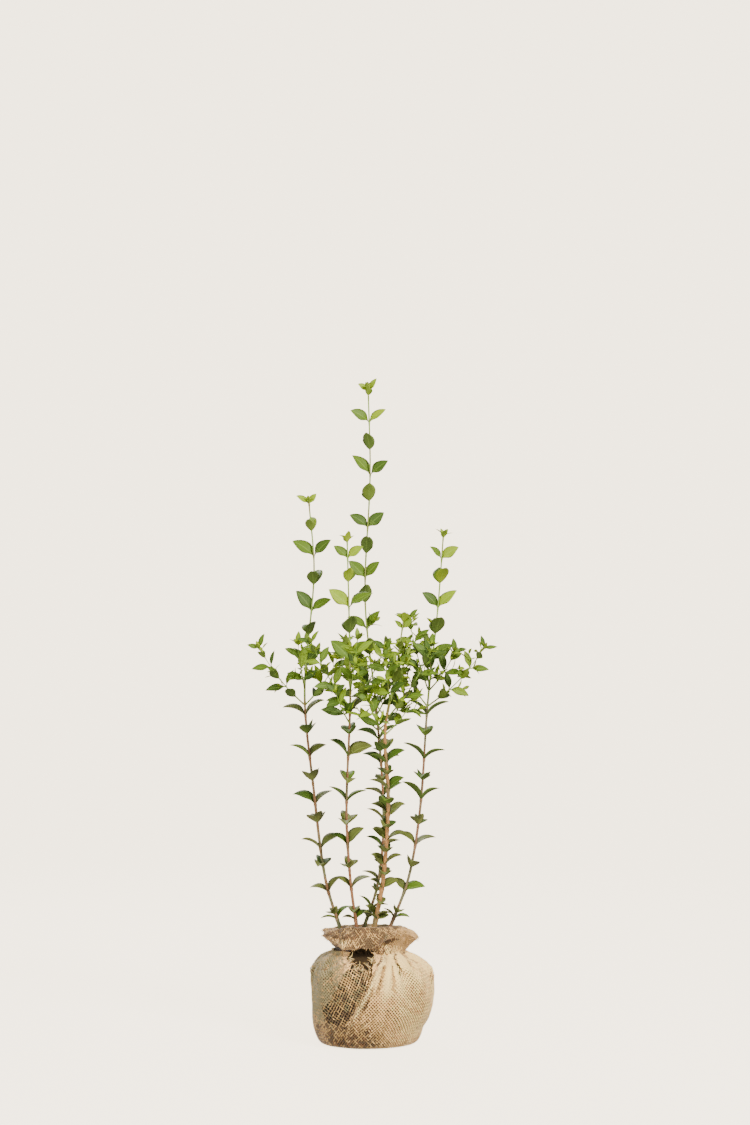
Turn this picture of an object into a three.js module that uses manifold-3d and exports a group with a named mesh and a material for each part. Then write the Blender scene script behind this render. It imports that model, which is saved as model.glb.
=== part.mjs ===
// Hedge sapling with five slender canes, standing on a root ball wrapped in burlap.
// Millimetres, +Z up. The origin is the middle of the flat underside of the ball.
// The front of the plant faces -Y and its right side faces +X.

import * as THREE from 'three';
import { mergeVertices } from 'three/addons/utils/BufferGeometryUtils.js';
import Module from 'manifold-3d';

const wasm = await Module();
wasm.setup();

// Clearances between neighbouring pieces
const GAP = 0.3;
const LEAF_CLEARANCE = 3.4;
const LIMB_CLEARANCE = 1.6;
const SLIVER = 0.06;

// Root ball
const BALL_RADIUS = 98;
const WAIST_HEIGHT = 82;
const HEEL_HEIGHT = 28;
const BALL_LEAN = 5;
const BALL_BEND = 0.0025;
const LOWER_REACH = 120;
const UPPER_REACH = 71;
const LOWER_POWER = 2.2;
const UPPER_POWER = 3.2;
const NECK_HEIGHT = 146;
const CLOTH = 2.2;
const SOIL_SLACK = 4;
const SOIL_LIFT = 0.4;
const SOIL_TOP = 176;
const SOIL_NECK_RADIUS = 40;
const SOIL_TOP_RADIUS = 47;
const SOIL_STEPS = 20;
const BALL_ROWS = 8;
const BALL_STEPS = 40;
const PLEATS = 10;
const PLEAT_DEPTH = 3.2;

// Torn opening in the shoulder of the cloth, front left
const TEAR_CENTRE = [-12, 142];
const TEAR_SIZE = [21, 15];
const TEAR_POINTS = 12;
const TEAR_RAGGED = [1.06, 0.84];
const TEAR_FRONT = -40;
const TEAR_REACH = 80;

// Gathered frill of cloth above the neck
const FRILL_RADIUS = 77;
const FRILL_HEIGHT = 172;
const FRILL_CREST = 183;
const FRILL_OPENING = 52;
const FRILL_WAVES = 9;
const FRILL_WAVE_DEPTH = 3.5;
const FRILL_FALL = 8;

// Canes
const CANE_SIDES = 5;
const CANE_STEP = 36;
const CANE_CUT = 36;
const FLARE = 1.7;
const FLARE_HEIGHT = 14;
const LEADER_SIDES = 4;
const LEADER_STEP = 48;
const LEADER_TIP_RADIUS = 0.95;
const TAPER = 0.4;

// Side shoots
const SHOOT_SIDES = 3;
const SHOOT_STEPS = 4;
const SHOOT_RADIUS = 1.15;
const SHOOT_TIP_RADIUS = 0.5;
const SHOOT_GAP = 21;
const NODE_RISE = 26;

// Leaves
const LEAF_SLENDERNESS = 0.26;
const LEAF_THICKNESS = 0.026;
const LEAF_FOLD = 0.28;
const TWIST_END = 0.35;
const TWIST_TO_LIGHT = 62;
const OLD_TWIST = 12;
const PETIOLE = 0.05;
const STATIONS = [0.32, 0.72];
const SMALL_LEAF = 15;
const LOW_LEAF = 29;
const CANE_LEAF = 40;
const LEADER_LEAF = 41;
const SHOOT_LEAF = 35;
const CANE_RISE = 57;
const CANE_DROOP = 48;
const FACING_DROOP = 34;
const CROWDING = 54;
const LEADER_RISE = 55;
const SHOOT_RISE = 47;
const YOUNG_DROOP = 26;
const TIP_RISE = 57;
const TIP_DROOP = 18;
const BUD_RISE = 66;
const BUD_DROOP = 12;
const TIP_LEAF = 23;
const BUD_LEAF = 13;
const BUD_STEP = 0.5;
const LEAF_FLOOR = 192;

// Where each cane runs, as points from its foot to its tip. girth is its radius at the foot,
// whorl the height at which the side shoots spring, and leaves and leader the first height,
// the spacing and the turn of the pairs of leaves. A shoot has a turn from the right, a tilt
// from upright, a length and the node that it springs from.
const CANES = [
  {
    name: 'left',
    girth: 2.5,
    route: [[-46, 2, 176], [-71, 5, 258], [-90, 9, 400], [-105, 13, 560], [-90, 12, 751], [-98, 8, 865]],
    whorl: 541,
    leaves: { first: 205, gap: 35.5, turn: 90, count: 10 },
    leader: { first: 606, gap: 42.5, turn: 0 },
    shoots: [[180, 38, 116, 0], [22, 36, 96, 0], [262, 40, 88, 1], [88, 38, 92, 1]],
  },
  {
    name: 'middle_left',
    girth: 2.4,
    route: [
      [-20, -9, 176], [-31, -20, 260], [-37, -36, 371],
      [-31, -54, 545], [-33, -50, 687], [-36, -40, 799],
    ],
    whorl: 538,
    leaves: { first: 208, gap: 35.5, turn: 90, count: 10 },
    leader: { first: 610, gap: 40, turn: 0 },
    shoots: [
      [190, 31, 116, 0], [345, 31, 110, 0], [282, 36, 94, 1], [98, 36, 96, 1],
      [242, 42, 62, -1],
    ],
  },
  {
    name: 'back',
    girth: 2.3,
    route: [
      [-12, 13, 176], [12, 24, 249], [22, 38, 353], [11, 58, 525],
      [-8, 56, 708], [0, 42, 912], [-3, 30, 1050],
    ],
    whorl: 526,
    leaves: { first: 214, gap: 22.5, turn: 0, count: 13 },
    leader: { first: 622, gap: 41.5, turn: 90 },
    shoots: [
      [125, 33, 108, 0], [318, 28, 118, 0], [35, 34, 106, 1], [212, 34, 98, 1],
      [168, 40, 70, -1], [345, 40, 66, -1],
    ],
  },
  {
    name: 'front',
    girth: 3.6,
    route: [[5, -11, 176], [21, -22, 263], [29, -33, 387], [24, -42, 500], [39, -46, 580], [53, -50, 673]],
    whorl: 520,
    leaves: { first: 204, gap: 20, turn: 0, count: 14 },
    leader: { first: 574, gap: 27, turn: 90 },
    shoots: [
      [352, 33, 120, 0], [160, 31, 106, 0], [262, 36, 98, 1], [62, 33, 102, 1],
      [234, 40, 66, -1], [20, 40, 68, -1],
    ],
  },
  {
    name: 'right',
    girth: 2.4,
    route: [[30, 14, 176], [62, 20, 261], [81, 26, 374], [93, 30, 540], [109, 25, 692], [118, 18, 812]],
    whorl: 539,
    leaves: { first: 206, gap: 35.5, turn: 90, count: 10 },
    leader: { first: 611, gap: 41, turn: 0 },
    shoots: [
      [2, 44, 130, 0], [205, 33, 76, 0], [172, 15, 118, 1], [335, 36, 74, 1],
      [92, 38, 94, 1], [272, 38, 86, 1],
    ],
  },
];

// Colours
const BARK = { color: 0x8f6a48, roughness: 0.85, metalness: 0 };
const FOLIAGE = { color: 0x6f8f30, roughness: 0.55, metalness: 0 };
const BURLAP = { color: 0xc4ab80, roughness: 0.95, metalness: 0 };
const SOIL = { color: 0x352a1e, roughness: 1, metalness: 0 };

const plant = new THREE.Group();

// Helpers

function radians(degrees) {
  return degrees * Math.PI / 180;
}

function dice(seed) {
  let state = seed;
  return (low, high) => {
    state = (state * 1664525 + 1013904223) % 4294967296;
    return low + (high - low) * state / 4294967296;
  };
}

function geometryOf(points, triangles) {
  const geometry = new THREE.BufferGeometry();
  const numbers = points.flatMap((point) => [point.x, point.y, point.z]);
  geometry.setAttribute('position', new THREE.Float32BufferAttribute(numbers, 3));
  geometry.setIndex(triangles.flat());
  return geometry;
}

function solidOf(geometry) {
  geometry.deleteAttribute('normal');
  geometry.deleteAttribute('uv');
  const merged = mergeVertices(geometry, 1e-5);
  return new wasm.Manifold(new wasm.Mesh({
    numProp: 3,
    vertProperties: new Float32Array(merged.attributes.position.array),
    triVerts: new Uint32Array(merged.index.array),
  }));
}

function geometryFrom(solid) {
  const mesh = solid.getMesh();
  const geometry = new THREE.BufferGeometry();
  geometry.setAttribute('position', new THREE.BufferAttribute(mesh.vertProperties, 3));
  geometry.setIndex(new THREE.BufferAttribute(mesh.triVerts, 1));
  return geometry;
}

function addPiece(name, geometry, finish) {
  geometry.computeVertexNormals();
  const piece = new THREE.Mesh(geometry, new THREE.MeshStandardMaterial(finish));
  piece.name = name;
  plant.add(piece);
}

// A skin over rings of equal count. A loop joins its last ring to its first, and any other
// skin is closed at both ends by a flat fan.
function skin(rings, loop) {
  const count = rings[0].length;
  const points = rings.flat();
  const triangles = [];
  const bands = loop ? rings.length : rings.length - 1;
  for (let band = 0; band < bands; band += 1) {
    const low = band * count;
    const high = ((band + 1) % rings.length) * count;
    for (let step = 0; step < count; step += 1) {
      const next = (step + 1) % count;
      triangles.push([low + step, low + next, high + next]);
      triangles.push([low + step, high + next, high + step]);
    }
  }
  if (!loop) {
    const last = (rings.length - 1) * count;
    for (let step = 1; step < count - 1; step += 1) {
      triangles.push([0, step + 1, step]);
      triangles.push([last, last + step, last + step + 1]);
    }
  }
  return geometryOf(points, triangles);
}

// Root ball

function ballRadius(height) {
  const reach = height < WAIST_HEIGHT ? LOWER_REACH : UPPER_REACH;
  const power = height < WAIST_HEIGHT ? LOWER_POWER : UPPER_POWER;
  const share = Math.abs(height - WAIST_HEIGHT) / reach;
  return BALL_RADIUS * (1 - share ** power) ** (1 / LOWER_POWER);
}

function ballSlope(height) {
  return ballRadius(height + 0.5) - ballRadius(height - 0.5);
}

function ballMiddle(height) {
  return BALL_LEAN - BALL_BEND * (Math.max(HEEL_HEIGHT, height) - WAIST_HEIGHT) ** 2;
}

function pleat(angle, height) {
  const share = Math.min(1, height / NECK_HEIGHT);
  const wander = 0.55 * Math.sin(2 * angle + 0.8) + 0.3 * Math.sin(5 * angle);
  return PLEAT_DEPTH * share ** 2.5 * Math.sin(PLEATS * angle + wander + 2.4 * share);
}

function lopsided(angle, height) {
  const share = height / NECK_HEIGHT;
  return 1.4 * Math.sin(2 * angle + 0.6) + 1.6 * share * Math.sin(3 * angle + 2.1);
}

function ballRing(height, inset, steps) {
  const ring = [];
  const flat = inset * Math.hypot(1, ballSlope(Math.max(1, height)));
  for (let step = 0; step < steps; step += 1) {
    const angle = 2 * Math.PI * step / steps;
    const radius = ballRadius(height) + lopsided(angle, height) + pleat(angle, height) - flat;
    const x = ballMiddle(height) + radius * Math.cos(angle);
    ring.push(new THREE.Vector3(x, radius * Math.sin(angle), height));
  }
  return ring;
}

function neckRing(height, radius) {
  return levelRing(new THREE.Vector3(ballMiddle(NECK_HEIGHT), 0, height), radius, SOIL_STEPS);
}

function ballHeights(floor) {
  const heights = [];
  for (let row = 0; row <= BALL_ROWS; row += 1) {
    heights.push(floor + (NECK_HEIGHT - floor) * Math.sin(Math.PI / 2 * row / BALL_ROWS) ** 1.15);
  }
  return heights;
}

function tearCutter() {
  const outline = [];
  for (let step = 0; step < TEAR_POINTS; step += 1) {
    const angle = 2 * Math.PI * step / TEAR_POINTS;
    const ragged = TEAR_RAGGED[step % 2];
    const x = TEAR_CENTRE[0] + ragged * TEAR_SIZE[0] * Math.cos(angle);
    outline.push(new THREE.Vector2(x, TEAR_CENTRE[1] + ragged * TEAR_SIZE[1] * Math.sin(angle)));
  }
  const cutter = new THREE.ExtrudeGeometry(
    new THREE.Shape(outline),
    { depth: TEAR_REACH, bevelEnabled: false },
  );
  cutter.rotateX(Math.PI / 2);
  cutter.translate(0, TEAR_FRONT, 0);
  return cutter;
}

function burlapWrap() {
  const outer = ballHeights(0).map((height) => ballRing(height, 0, BALL_STEPS));
  const inner = ballHeights(CLOTH).map((height) => ballRing(height, CLOTH, BALL_STEPS)).reverse();
  return geometryFrom(solidOf(skin([...outer, ...inner])).subtract(solidOf(tearCutter())));
}

function soilBall() {
  const inset = CLOTH + SOIL_SLACK;
  const rings = ballHeights(CLOTH + SOIL_LIFT).map((height) => ballRing(height, inset, SOIL_STEPS));
  rings[rings.length - 1] = neckRing(NECK_HEIGHT - 2, SOIL_NECK_RADIUS);
  rings.push(neckRing(NECK_HEIGHT + 6, SOIL_NECK_RADIUS));
  rings.push(neckRing(SOIL_TOP - 8, SOIL_TOP_RADIUS));
  rings.push(neckRing(SOIL_TOP, SOIL_TOP_RADIUS - 1));
  return skin(rings);
}

// Frill: its cross-section runs from the neck out under the edge and back over the crest.
function frillSection() {
  return [
    [FRILL_OPENING - 3, NECK_HEIGHT + GAP],
    [FRILL_OPENING + 6, NECK_HEIGHT + GAP],
    [FRILL_OPENING + 15, FRILL_HEIGHT - 13],
    [FRILL_RADIUS - 2, FRILL_HEIGHT - 3],
    [FRILL_RADIUS, FRILL_HEIGHT],
    [FRILL_RADIUS - 6, FRILL_HEIGHT + 5],
    [FRILL_OPENING + 11, FRILL_CREST],
    [FRILL_OPENING + 2, FRILL_CREST - 1],
    [FRILL_OPENING - 4, FRILL_CREST - 7],
  ];
}

function frillPoint(radius, height, angle) {
  const out = Math.max(0, (radius - FRILL_OPENING - 6) / (FRILL_RADIUS - FRILL_OPENING - 6));
  const wave = Math.sin(FRILL_WAVES * angle + 0.9 * Math.sin(2 * angle));
  const ruffle = 1 + 0.05 * out * Math.sin(FRILL_WAVES * angle + 1.6) + 0.03 * out * Math.sin(4 * angle);
  const middle = ballMiddle(NECK_HEIGHT) + 9 * out;
  const rise = out * (FRILL_WAVE_DEPTH * wave + FRILL_FALL * Math.sin(angle));
  const x = middle + radius * ruffle * Math.cos(angle);
  return new THREE.Vector3(x, radius * ruffle * Math.sin(angle), height + rise);
}

function burlapFrill() {
  const rings = frillSection().map(([radius, height]) => {
    const ring = [];
    for (let step = 0; step < BALL_STEPS; step += 1) {
      ring.push(frillPoint(radius, height, 2 * Math.PI * step / BALL_STEPS));
    }
    return ring;
  });
  return skin(rings, true);
}

// Limbs

function spot(route, height) {
  let index = 0;
  while (index < route.length - 2 && height > route[index + 1][2]) {
    index += 1;
  }
  const from = route[index];
  const to = route[index + 1];
  const before = route[Math.max(0, index - 1)];
  const after = route[Math.min(route.length - 1, index + 2)];
  const span = to[2] - from[2];
  const share = (height - from[2]) / span;
  const place = [0, 1].map((axis) => {
    const start = span * (to[axis] - before[axis]) / (to[2] - before[2]);
    const end = span * (after[axis] - from[axis]) / (after[2] - from[2]);
    const rise = to[axis] - from[axis];
    const bend = (start - rise) * (1 - share) + (rise - end) * share;
    return from[axis] + share * rise + share * (1 - share) * bend;
  });
  return new THREE.Vector3(place[0], place[1], height);
}

function heading(route, height) {
  return spot(route, height + 2).sub(spot(route, height - 2)).normalize();
}

function frameOf(along, reference) {
  const across = reference.clone().addScaledVector(along, -reference.dot(along)).normalize();
  return { along, across, over: along.clone().cross(across) };
}

function levelRing(centre, radius, sides) {
  const ring = [];
  for (let side = 0; side < sides; side += 1) {
    const angle = 2 * Math.PI * (side + 0.5) / sides;
    ring.push(new THREE.Vector3(
      centre.x + radius * Math.cos(angle), centre.y + radius * Math.sin(angle), centre.z,
    ));
  }
  return ring;
}

function squareRing(centre, frame, radius, sides) {
  const ring = [];
  for (let side = 0; side < sides; side += 1) {
    const angle = 2 * Math.PI * side / sides;
    ring.push(centre.clone()
      .addScaledVector(frame.across, radius * Math.cos(angle))
      .addScaledVector(frame.over, radius * Math.sin(angle)));
  }
  return ring;
}

function caneTop(cane) {
  return cane.whorl + CANE_CUT;
}

function caneTip(cane) {
  return cane.route[cane.route.length - 1][2];
}

function caneRadius(cane, height) {
  const foot = SOIL_TOP + GAP;
  const share = (height - foot) / (caneTip(cane) - foot);
  const taper = cane.girth * (1 - share) ** TAPER;
  const flare = FLARE * Math.exp((foot - height) / FLARE_HEIGHT);
  return Math.max(LEADER_TIP_RADIUS, taper) + flare;
}

function uprightLimb(cane, from, to, step, sides) {
  const count = Math.max(2, Math.round((to - from) / step));
  const limb = { points: [], radii: [], rings: [] };
  for (let index = 0; index <= count; index += 1) {
    const height = from + (to - from) * index / count;
    const centre = spot(cane.route, height);
    limb.points.push(centre);
    limb.radii.push(caneRadius(cane, height));
    limb.rings.push(levelRing(centre, caneRadius(cane, height), sides));
  }
  return limb;
}

function shootLimb(cane, [turn, tilt, length, node]) {
  const height = cane.whorl + node * NODE_RISE;
  const level = new THREE.Vector3(Math.cos(radians(turn)), Math.sin(radians(turn)), 0);
  const side = new THREE.Vector3(-level.y, level.x, 0);
  const stand = caneRadius(cane, height) + GAP + 0.15;
  const point = spot(cane.route, height).addScaledVector(level, stand);
  const limb = { points: [point.clone()], radii: [SHOOT_RADIUS], rings: [], headings: [], side };
  limb.rings.push(squareRing(point, frameOf(level, side), SHOOT_RADIUS, SHOOT_SIDES));
  for (let step = 1; step <= SHOOT_STEPS; step += 1) {
    const lean = radians(tilt * (1.3 - 0.6 * (step - 0.5) / SHOOT_STEPS));
    const along = level.clone().multiplyScalar(Math.sin(lean)).setZ(Math.cos(lean));
    point.addScaledVector(along, length / SHOOT_STEPS);
    const radius = THREE.MathUtils.lerp(SHOOT_RADIUS, SHOOT_TIP_RADIUS, step / SHOOT_STEPS);
    limb.points.push(point.clone());
    limb.radii.push(radius);
    limb.headings.push(along);
    limb.rings.push(squareRing(point, frameOf(along, side), radius, SHOOT_SIDES));
  }
  return limb;
}

// Leaves: a leaf is described by its base, the frame of its stem, its turn round the stem,
// its rise from square to the stem, its droop towards the tip, and its length.

function leafOutline(share) {
  const blade = Math.max(0, (share - PETIOLE) / (1 - PETIOLE));
  return Math.sin(Math.PI * Math.min(1, blade) ** 0.9) ** 0.8;
}

// The twist turns the blade about its own midrib, and is complete a third of the way along.
function leafPoint(leaf, share, side, lift) {
  const out = leaf.across.clone().multiplyScalar(Math.cos(leaf.turn))
    .addScaledVector(leaf.over, Math.sin(leaf.turn));
  const chord = leaf.rise - leaf.droop * share / 2;
  const slant = leaf.rise - leaf.droop * share;
  const blade = out.clone().multiplyScalar(Math.cos(slant)).addScaledVector(leaf.along, Math.sin(slant));
  const twist = leaf.twist * Math.min(1, share / TWIST_END);
  const face = leaf.along.clone().multiplyScalar(Math.cos(slant)).addScaledVector(out, -Math.sin(slant));
  const edge = blade.cross(face);
  const up = face.clone().multiplyScalar(Math.cos(twist)).addScaledVector(edge, Math.sin(twist));
  const across = edge.multiplyScalar(Math.cos(twist)).addScaledVector(face, -Math.sin(twist));
  const width = side * leaf.length * LEAF_SLENDERNESS * leafOutline(share);
  return leaf.base.clone()
    .addScaledVector(out, leaf.length * share * Math.cos(chord))
    .addScaledVector(leaf.along, leaf.length * share * Math.sin(chord))
    .addScaledVector(across, width * Math.cos(LEAF_FOLD))
    .addScaledVector(up, Math.abs(width) * Math.sin(LEAF_FOLD) + lift);
}

function leafSamples(leaf) {
  const samples = [];
  for (let row = 1; row <= 8; row += 1) {
    for (let column = -2; column <= 2; column += 1) {
      samples.push(leafPoint(leaf, row / 8, column / 2, 0));
    }
  }
  return samples.filter((sample, index) => index >= 5 || index === 2);
}

function leafSolid(leaf) {
  const half = leaf.length * LEAF_THICKNESS / 2;
  const stations = leaf.length < SMALL_LEAF ? [0.5] : STATIONS;
  const rim = [
    leafPoint(leaf, 0, 0, 0),
    ...stations.map((share) => leafPoint(leaf, share, 1, 0)),
    leafPoint(leaf, 1, 0, 0),
    ...stations.map((share) => leafPoint(leaf, share, -1, 0)).reverse(),
  ];
  const points = [...rim, leafPoint(leaf, 0.45, 0, half), leafPoint(leaf, 0.45, 0, -half)];
  const triangles = [];
  rim.forEach((corner, index) => {
    const next = (index + 1) % rim.length;
    triangles.push([rim.length, index, next]);
    triangles.push([rim.length + 1, next, index]);
  });
  return solidOf(geometryOf(points, triangles));
}

// The leaves of a pair turn their faces to the light, which comes from the front.
function addPair(mass, base, frame, turn, size, rise, droop, roll) {
  for (const half of [0, 180]) {
    const turned = radians(turn + half + roll(-14, 14));
    const out = frame.across.clone().multiplyScalar(Math.cos(turned))
      .addScaledVector(frame.over, Math.sin(turned));
    const aside = -out.cross(frame.along).y;
    mass.leaves.push({
      ...frame,
      base,
      turn: turned,
      length: size * roll(0.86, 1.1),
      rise: radians(rise + roll(-8, 8)),
      droop: radians(droop + roll(-10, 14)),
      twist: radians(mass.twist * aside + roll(-24, 24)),
    });
  }
}

const RIGHT = new THREE.Vector3(1, 0, 0);

function growCane(cane, seed) {
  const roll = dice(seed);
  const limb = uprightLimb(cane, SOIL_TOP + GAP, caneTop(cane), CANE_STEP, CANE_SIDES);
  const mass = { name: `cane_${cane.name}`, finish: BARK, limb, twist: OLD_TWIST, leaves: [] };
  const { first, gap, turn, count } = cane.leaves;
  for (let pair = 0; pair < count; pair += 1) {
    const height = first + pair * gap + roll(-4, 4);
    const frame = frameOf(heading(cane.route, height), RIGHT);
    const grown = Math.min(1, 2 * (pair + 1) / count);
    const size = THREE.MathUtils.lerp(LOW_LEAF, CANE_LEAF, grown) * Math.min(1, 0.5 + gap / CROWDING);
    const droop = CANE_DROOP + FACING_DROOP * Math.abs(Math.sin(radians(turn + 90 * pair)));
    addPair(mass, spot(cane.route, height), frame, turn + 90 * pair, size, CANE_RISE, droop, roll);
  }
  return mass;
}

function growLeader(cane, seed) {
  const roll = dice(seed);
  const tip = caneTip(cane);
  const limb = uprightLimb(cane, caneTop(cane) + GAP, tip, LEADER_STEP, LEADER_SIDES);
  const mass = { name: `leader_${cane.name}`, finish: FOLIAGE, limb, twist: TWIST_TO_LIGHT, leaves: [] };
  const { first, gap, turn } = cane.leader;
  let pair = 0;
  for (let height = first; height < tip - 12; height += gap) {
    const place = height + roll(-3, 3);
    const frame = frameOf(heading(cane.route, place), RIGHT);
    const young = Math.max(0, 1 - (tip - height) / 90);
    const size = LEADER_LEAF * (1 - 0.4 * young) * Math.min(1, gap / 36);
    const rise = LEADER_RISE + 5 * young;
    addPair(mass, spot(cane.route, place), frame, turn + 90 * pair, size, rise, YOUNG_DROOP, roll);
    pair += 1;
  }
  const frame = frameOf(heading(cane.route, tip - 2), RIGHT);
  addPair(mass, spot(cane.route, tip - 4), frame, turn + 90 * pair, TIP_LEAF, TIP_RISE, TIP_DROOP, roll);
  addPair(mass, spot(cane.route, tip - 1), frame, turn + 90 * pair + 90, BUD_LEAF, BUD_RISE, BUD_DROOP, roll);
  return mass;
}

function growShoot(cane, shoot, index, seed) {
  const roll = dice(seed);
  const limb = shootLimb(cane, shoot);
  const name = `shoot_${cane.name}_${index + 1}`;
  const mass = { name, finish: FOLIAGE, limb, twist: TWIST_TO_LIGHT, leaves: [] };
  const length = shoot[2];
  const pairs = Math.max(2, Math.round(length / SHOOT_GAP) - 1);
  for (let pair = 0; pair <= pairs; pair += 1) {
    const share = pair === pairs ? 0.985 : (pair + 0.85 + roll(-0.1, 0.1)) / (pairs + 0.75);
    const along = Math.min(SHOOT_STEPS - 1, Math.floor(share * SHOOT_STEPS));
    const base = limb.points[along].clone()
      .addScaledVector(limb.headings[along], share * length - along * length / SHOOT_STEPS);
    const frame = frameOf(limb.headings[along], limb.side);
    const last = pair === pairs;
    const size = last ? TIP_LEAF : SHOOT_LEAF * (1 - 0.3 * (pair / pairs) ** 2);
    const rise = last ? TIP_RISE : SHOOT_RISE;
    addPair(mass, base, frame, 90 * pair, size, rise, last ? TIP_DROOP : YOUNG_DROOP, roll);
    if (last) {
      const bud = base.clone().addScaledVector(frame.along, BUD_STEP);
      addPair(mass, bud, frame, 90 * pair + 90, BUD_LEAF, BUD_RISE, BUD_DROOP, roll);
    }
  }
  return mass;
}

// Skipping leaves that would touch another piece, after trying them turned aside and smaller

function distanceToSegment(point, from, to) {
  const run = to.clone().sub(from);
  const share = THREE.MathUtils.clamp(point.clone().sub(from).dot(run) / run.lengthSq(), 0, 1);
  return point.distanceTo(from.clone().addScaledVector(run, share));
}

function touchesLimb(samples, centre, reach, mass, masses) {
  return masses.some((other) => other !== mass && other.limb.points.some((from, index) => {
    const to = other.limb.points[index + 1];
    if (!to || distanceToSegment(centre, from, to) > reach + 8) {
      return false;
    }
    const clearance = other.limb.radii[index] + LIMB_CLEARANCE;
    return samples.some((sample) => distanceToSegment(sample, from, to) < clearance);
  }));
}

function touchesLeaf(samples, centre, reach, mass, placed) {
  return placed.some((other) => other.mass !== mass
    && other.centre.distanceTo(centre) < reach + other.reach + LEAF_CLEARANCE
    && samples.some((sample) => other.samples.some((mark) => mark.distanceTo(sample) < LEAF_CLEARANCE)));
}

function settle(masses) {
  const placed = [];
  const trials = [[0, 1], [16, 1], [-16, 1], [32, 0.92], [-32, 0.92], [0, 0.75], [24, 0.75], [-24, 0.75]];
  for (const mass of masses) {
    mass.kept = [];
    for (const leaf of mass.leaves) {
      for (const [aside, shrink] of trials) {
        const trial = { ...leaf, turn: leaf.turn + radians(aside), length: leaf.length * shrink };
        const samples = leafSamples(trial);
        const centre = leafPoint(trial, 0.5, 0, 0);
        const reach = trial.length / 2;
        if (samples.every((sample) => sample.z > LEAF_FLOOR)
          && !touchesLimb(samples, centre, reach, mass, masses)
          && !touchesLeaf(samples, centre, reach, mass, placed)) {
          placed.push({ mass, samples, centre, reach });
          mass.kept.push(trial);
          break;
        }
      }
    }
  }
}

function growPlant() {
  const masses = [];
  CANES.forEach((cane, index) => {
    masses.push(growCane(cane, 11 + index));
  });
  CANES.forEach((cane, index) => {
    masses.push(growLeader(cane, 31 + index));
  });
  CANES.forEach((cane, index) => {
    cane.shoots.forEach((shoot, place) => {
      masses.push(growShoot(cane, shoot, place, 101 + 10 * index + place));
    });
  });
  settle(masses);
  return masses;
}

function massSolid(mass) {
  let solid = solidOf(skin(mass.limb.rings));
  for (const leaf of mass.kept) {
    solid = solid.add(leafSolid(leaf));
  }
  return geometryFrom(solid.simplify(SLIVER));
}

addPiece('root_ball_soil', soilBall(), SOIL);
addPiece('burlap_wrap', burlapWrap(), BURLAP);
addPiece('burlap_frill', burlapFrill(), BURLAP);
for (const mass of growPlant()) {
  addPiece(mass.name, massSolid(mass), mass.finish);
}

export default plant;
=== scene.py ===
# Looks of the hedge sapling: bark, twigs, leaves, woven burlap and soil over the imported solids
import math

import bpy
import numpy as np
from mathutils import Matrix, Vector


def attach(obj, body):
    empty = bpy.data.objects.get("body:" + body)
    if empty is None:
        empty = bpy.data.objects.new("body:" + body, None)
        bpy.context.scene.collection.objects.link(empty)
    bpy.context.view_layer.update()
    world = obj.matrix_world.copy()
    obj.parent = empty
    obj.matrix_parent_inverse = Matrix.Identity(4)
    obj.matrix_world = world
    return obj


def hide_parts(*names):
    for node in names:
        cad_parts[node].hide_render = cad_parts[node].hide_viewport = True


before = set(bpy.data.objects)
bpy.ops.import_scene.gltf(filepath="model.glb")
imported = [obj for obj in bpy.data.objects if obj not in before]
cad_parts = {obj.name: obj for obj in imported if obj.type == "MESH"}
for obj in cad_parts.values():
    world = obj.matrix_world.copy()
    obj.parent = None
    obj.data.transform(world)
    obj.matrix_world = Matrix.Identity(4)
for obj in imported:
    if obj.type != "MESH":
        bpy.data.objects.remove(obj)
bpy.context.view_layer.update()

# Lengths are in millimetres until a mesh is made. The plant's own rule below is that of its
# source: the same routes, spacings and seeds give the same limbs and leaves.
MM = 0.001

# Camera, as the photograph was taken
PHOTO_SIZE = (750, 1125)
HORIZON_ROW = 717
CAMERA_PLACE = (8, -3000, 520)
LENS = 60
SENSOR = 36

# Stage and lights
FLOOR_RADIUS = 5200
WALL_CURVE = 1500
WALL_HEIGHT = 9000
STAGE_SIDES = 96
SKY_STRENGTH = 0.8
SKY_TINT = (1, 0.985, 0.97, 1)
PAPER_GLOW = (4.2, 3.62, 2.72)

# Each light's place, aim, size in millimetres, power in watts and tint
LIGHTS = {
    "key": ((1700, -2300, 2600), (0, 0, 450), 1300, 300, (1, 0.97, 0.92)),
    "fill": ((-1500, -2700, 500), (0, 0, 400), 1800, 110, (0.97, 0.98, 1)),
    "rim": ((-900, 2400, 2400), (0, 0, 500), 1400, 90, (1, 0.98, 0.95)),
}

# Root ball
BALL_RADIUS = 98
WAIST_HEIGHT = 82
HEEL_HEIGHT = 28
BALL_LEAN = 5
BALL_BEND = 0.0025
BALL_HEEL = [(22, 1.7), (8, 1.7), (2.5, 1.9), (0, 3.3)]
LOWER_REACH = 120
UPPER_REACH = 71
LOWER_POWER = 2.2
UPPER_POWER = 3.2
NECK_HEIGHT = 146
PLEATS = 10
PLEAT_DEPTH = 3.2
SOIL_INSET = 6.4
SOIL_TOP = 176
SOIL_MIDDLE = 90
SOIL_NECK_RADIUS = 41
SOIL_TOP_RADIUS = 48
SOIL_COLUMNS = 160
TOP_CRUMBS = 320
TEAR_CRUMBS = 90
CRUMB_ROWS = [(0.05, -1), (0.8, -0.55), (1, 0.05), (0.7, 0.62), (0.05, 0.95)]

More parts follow.
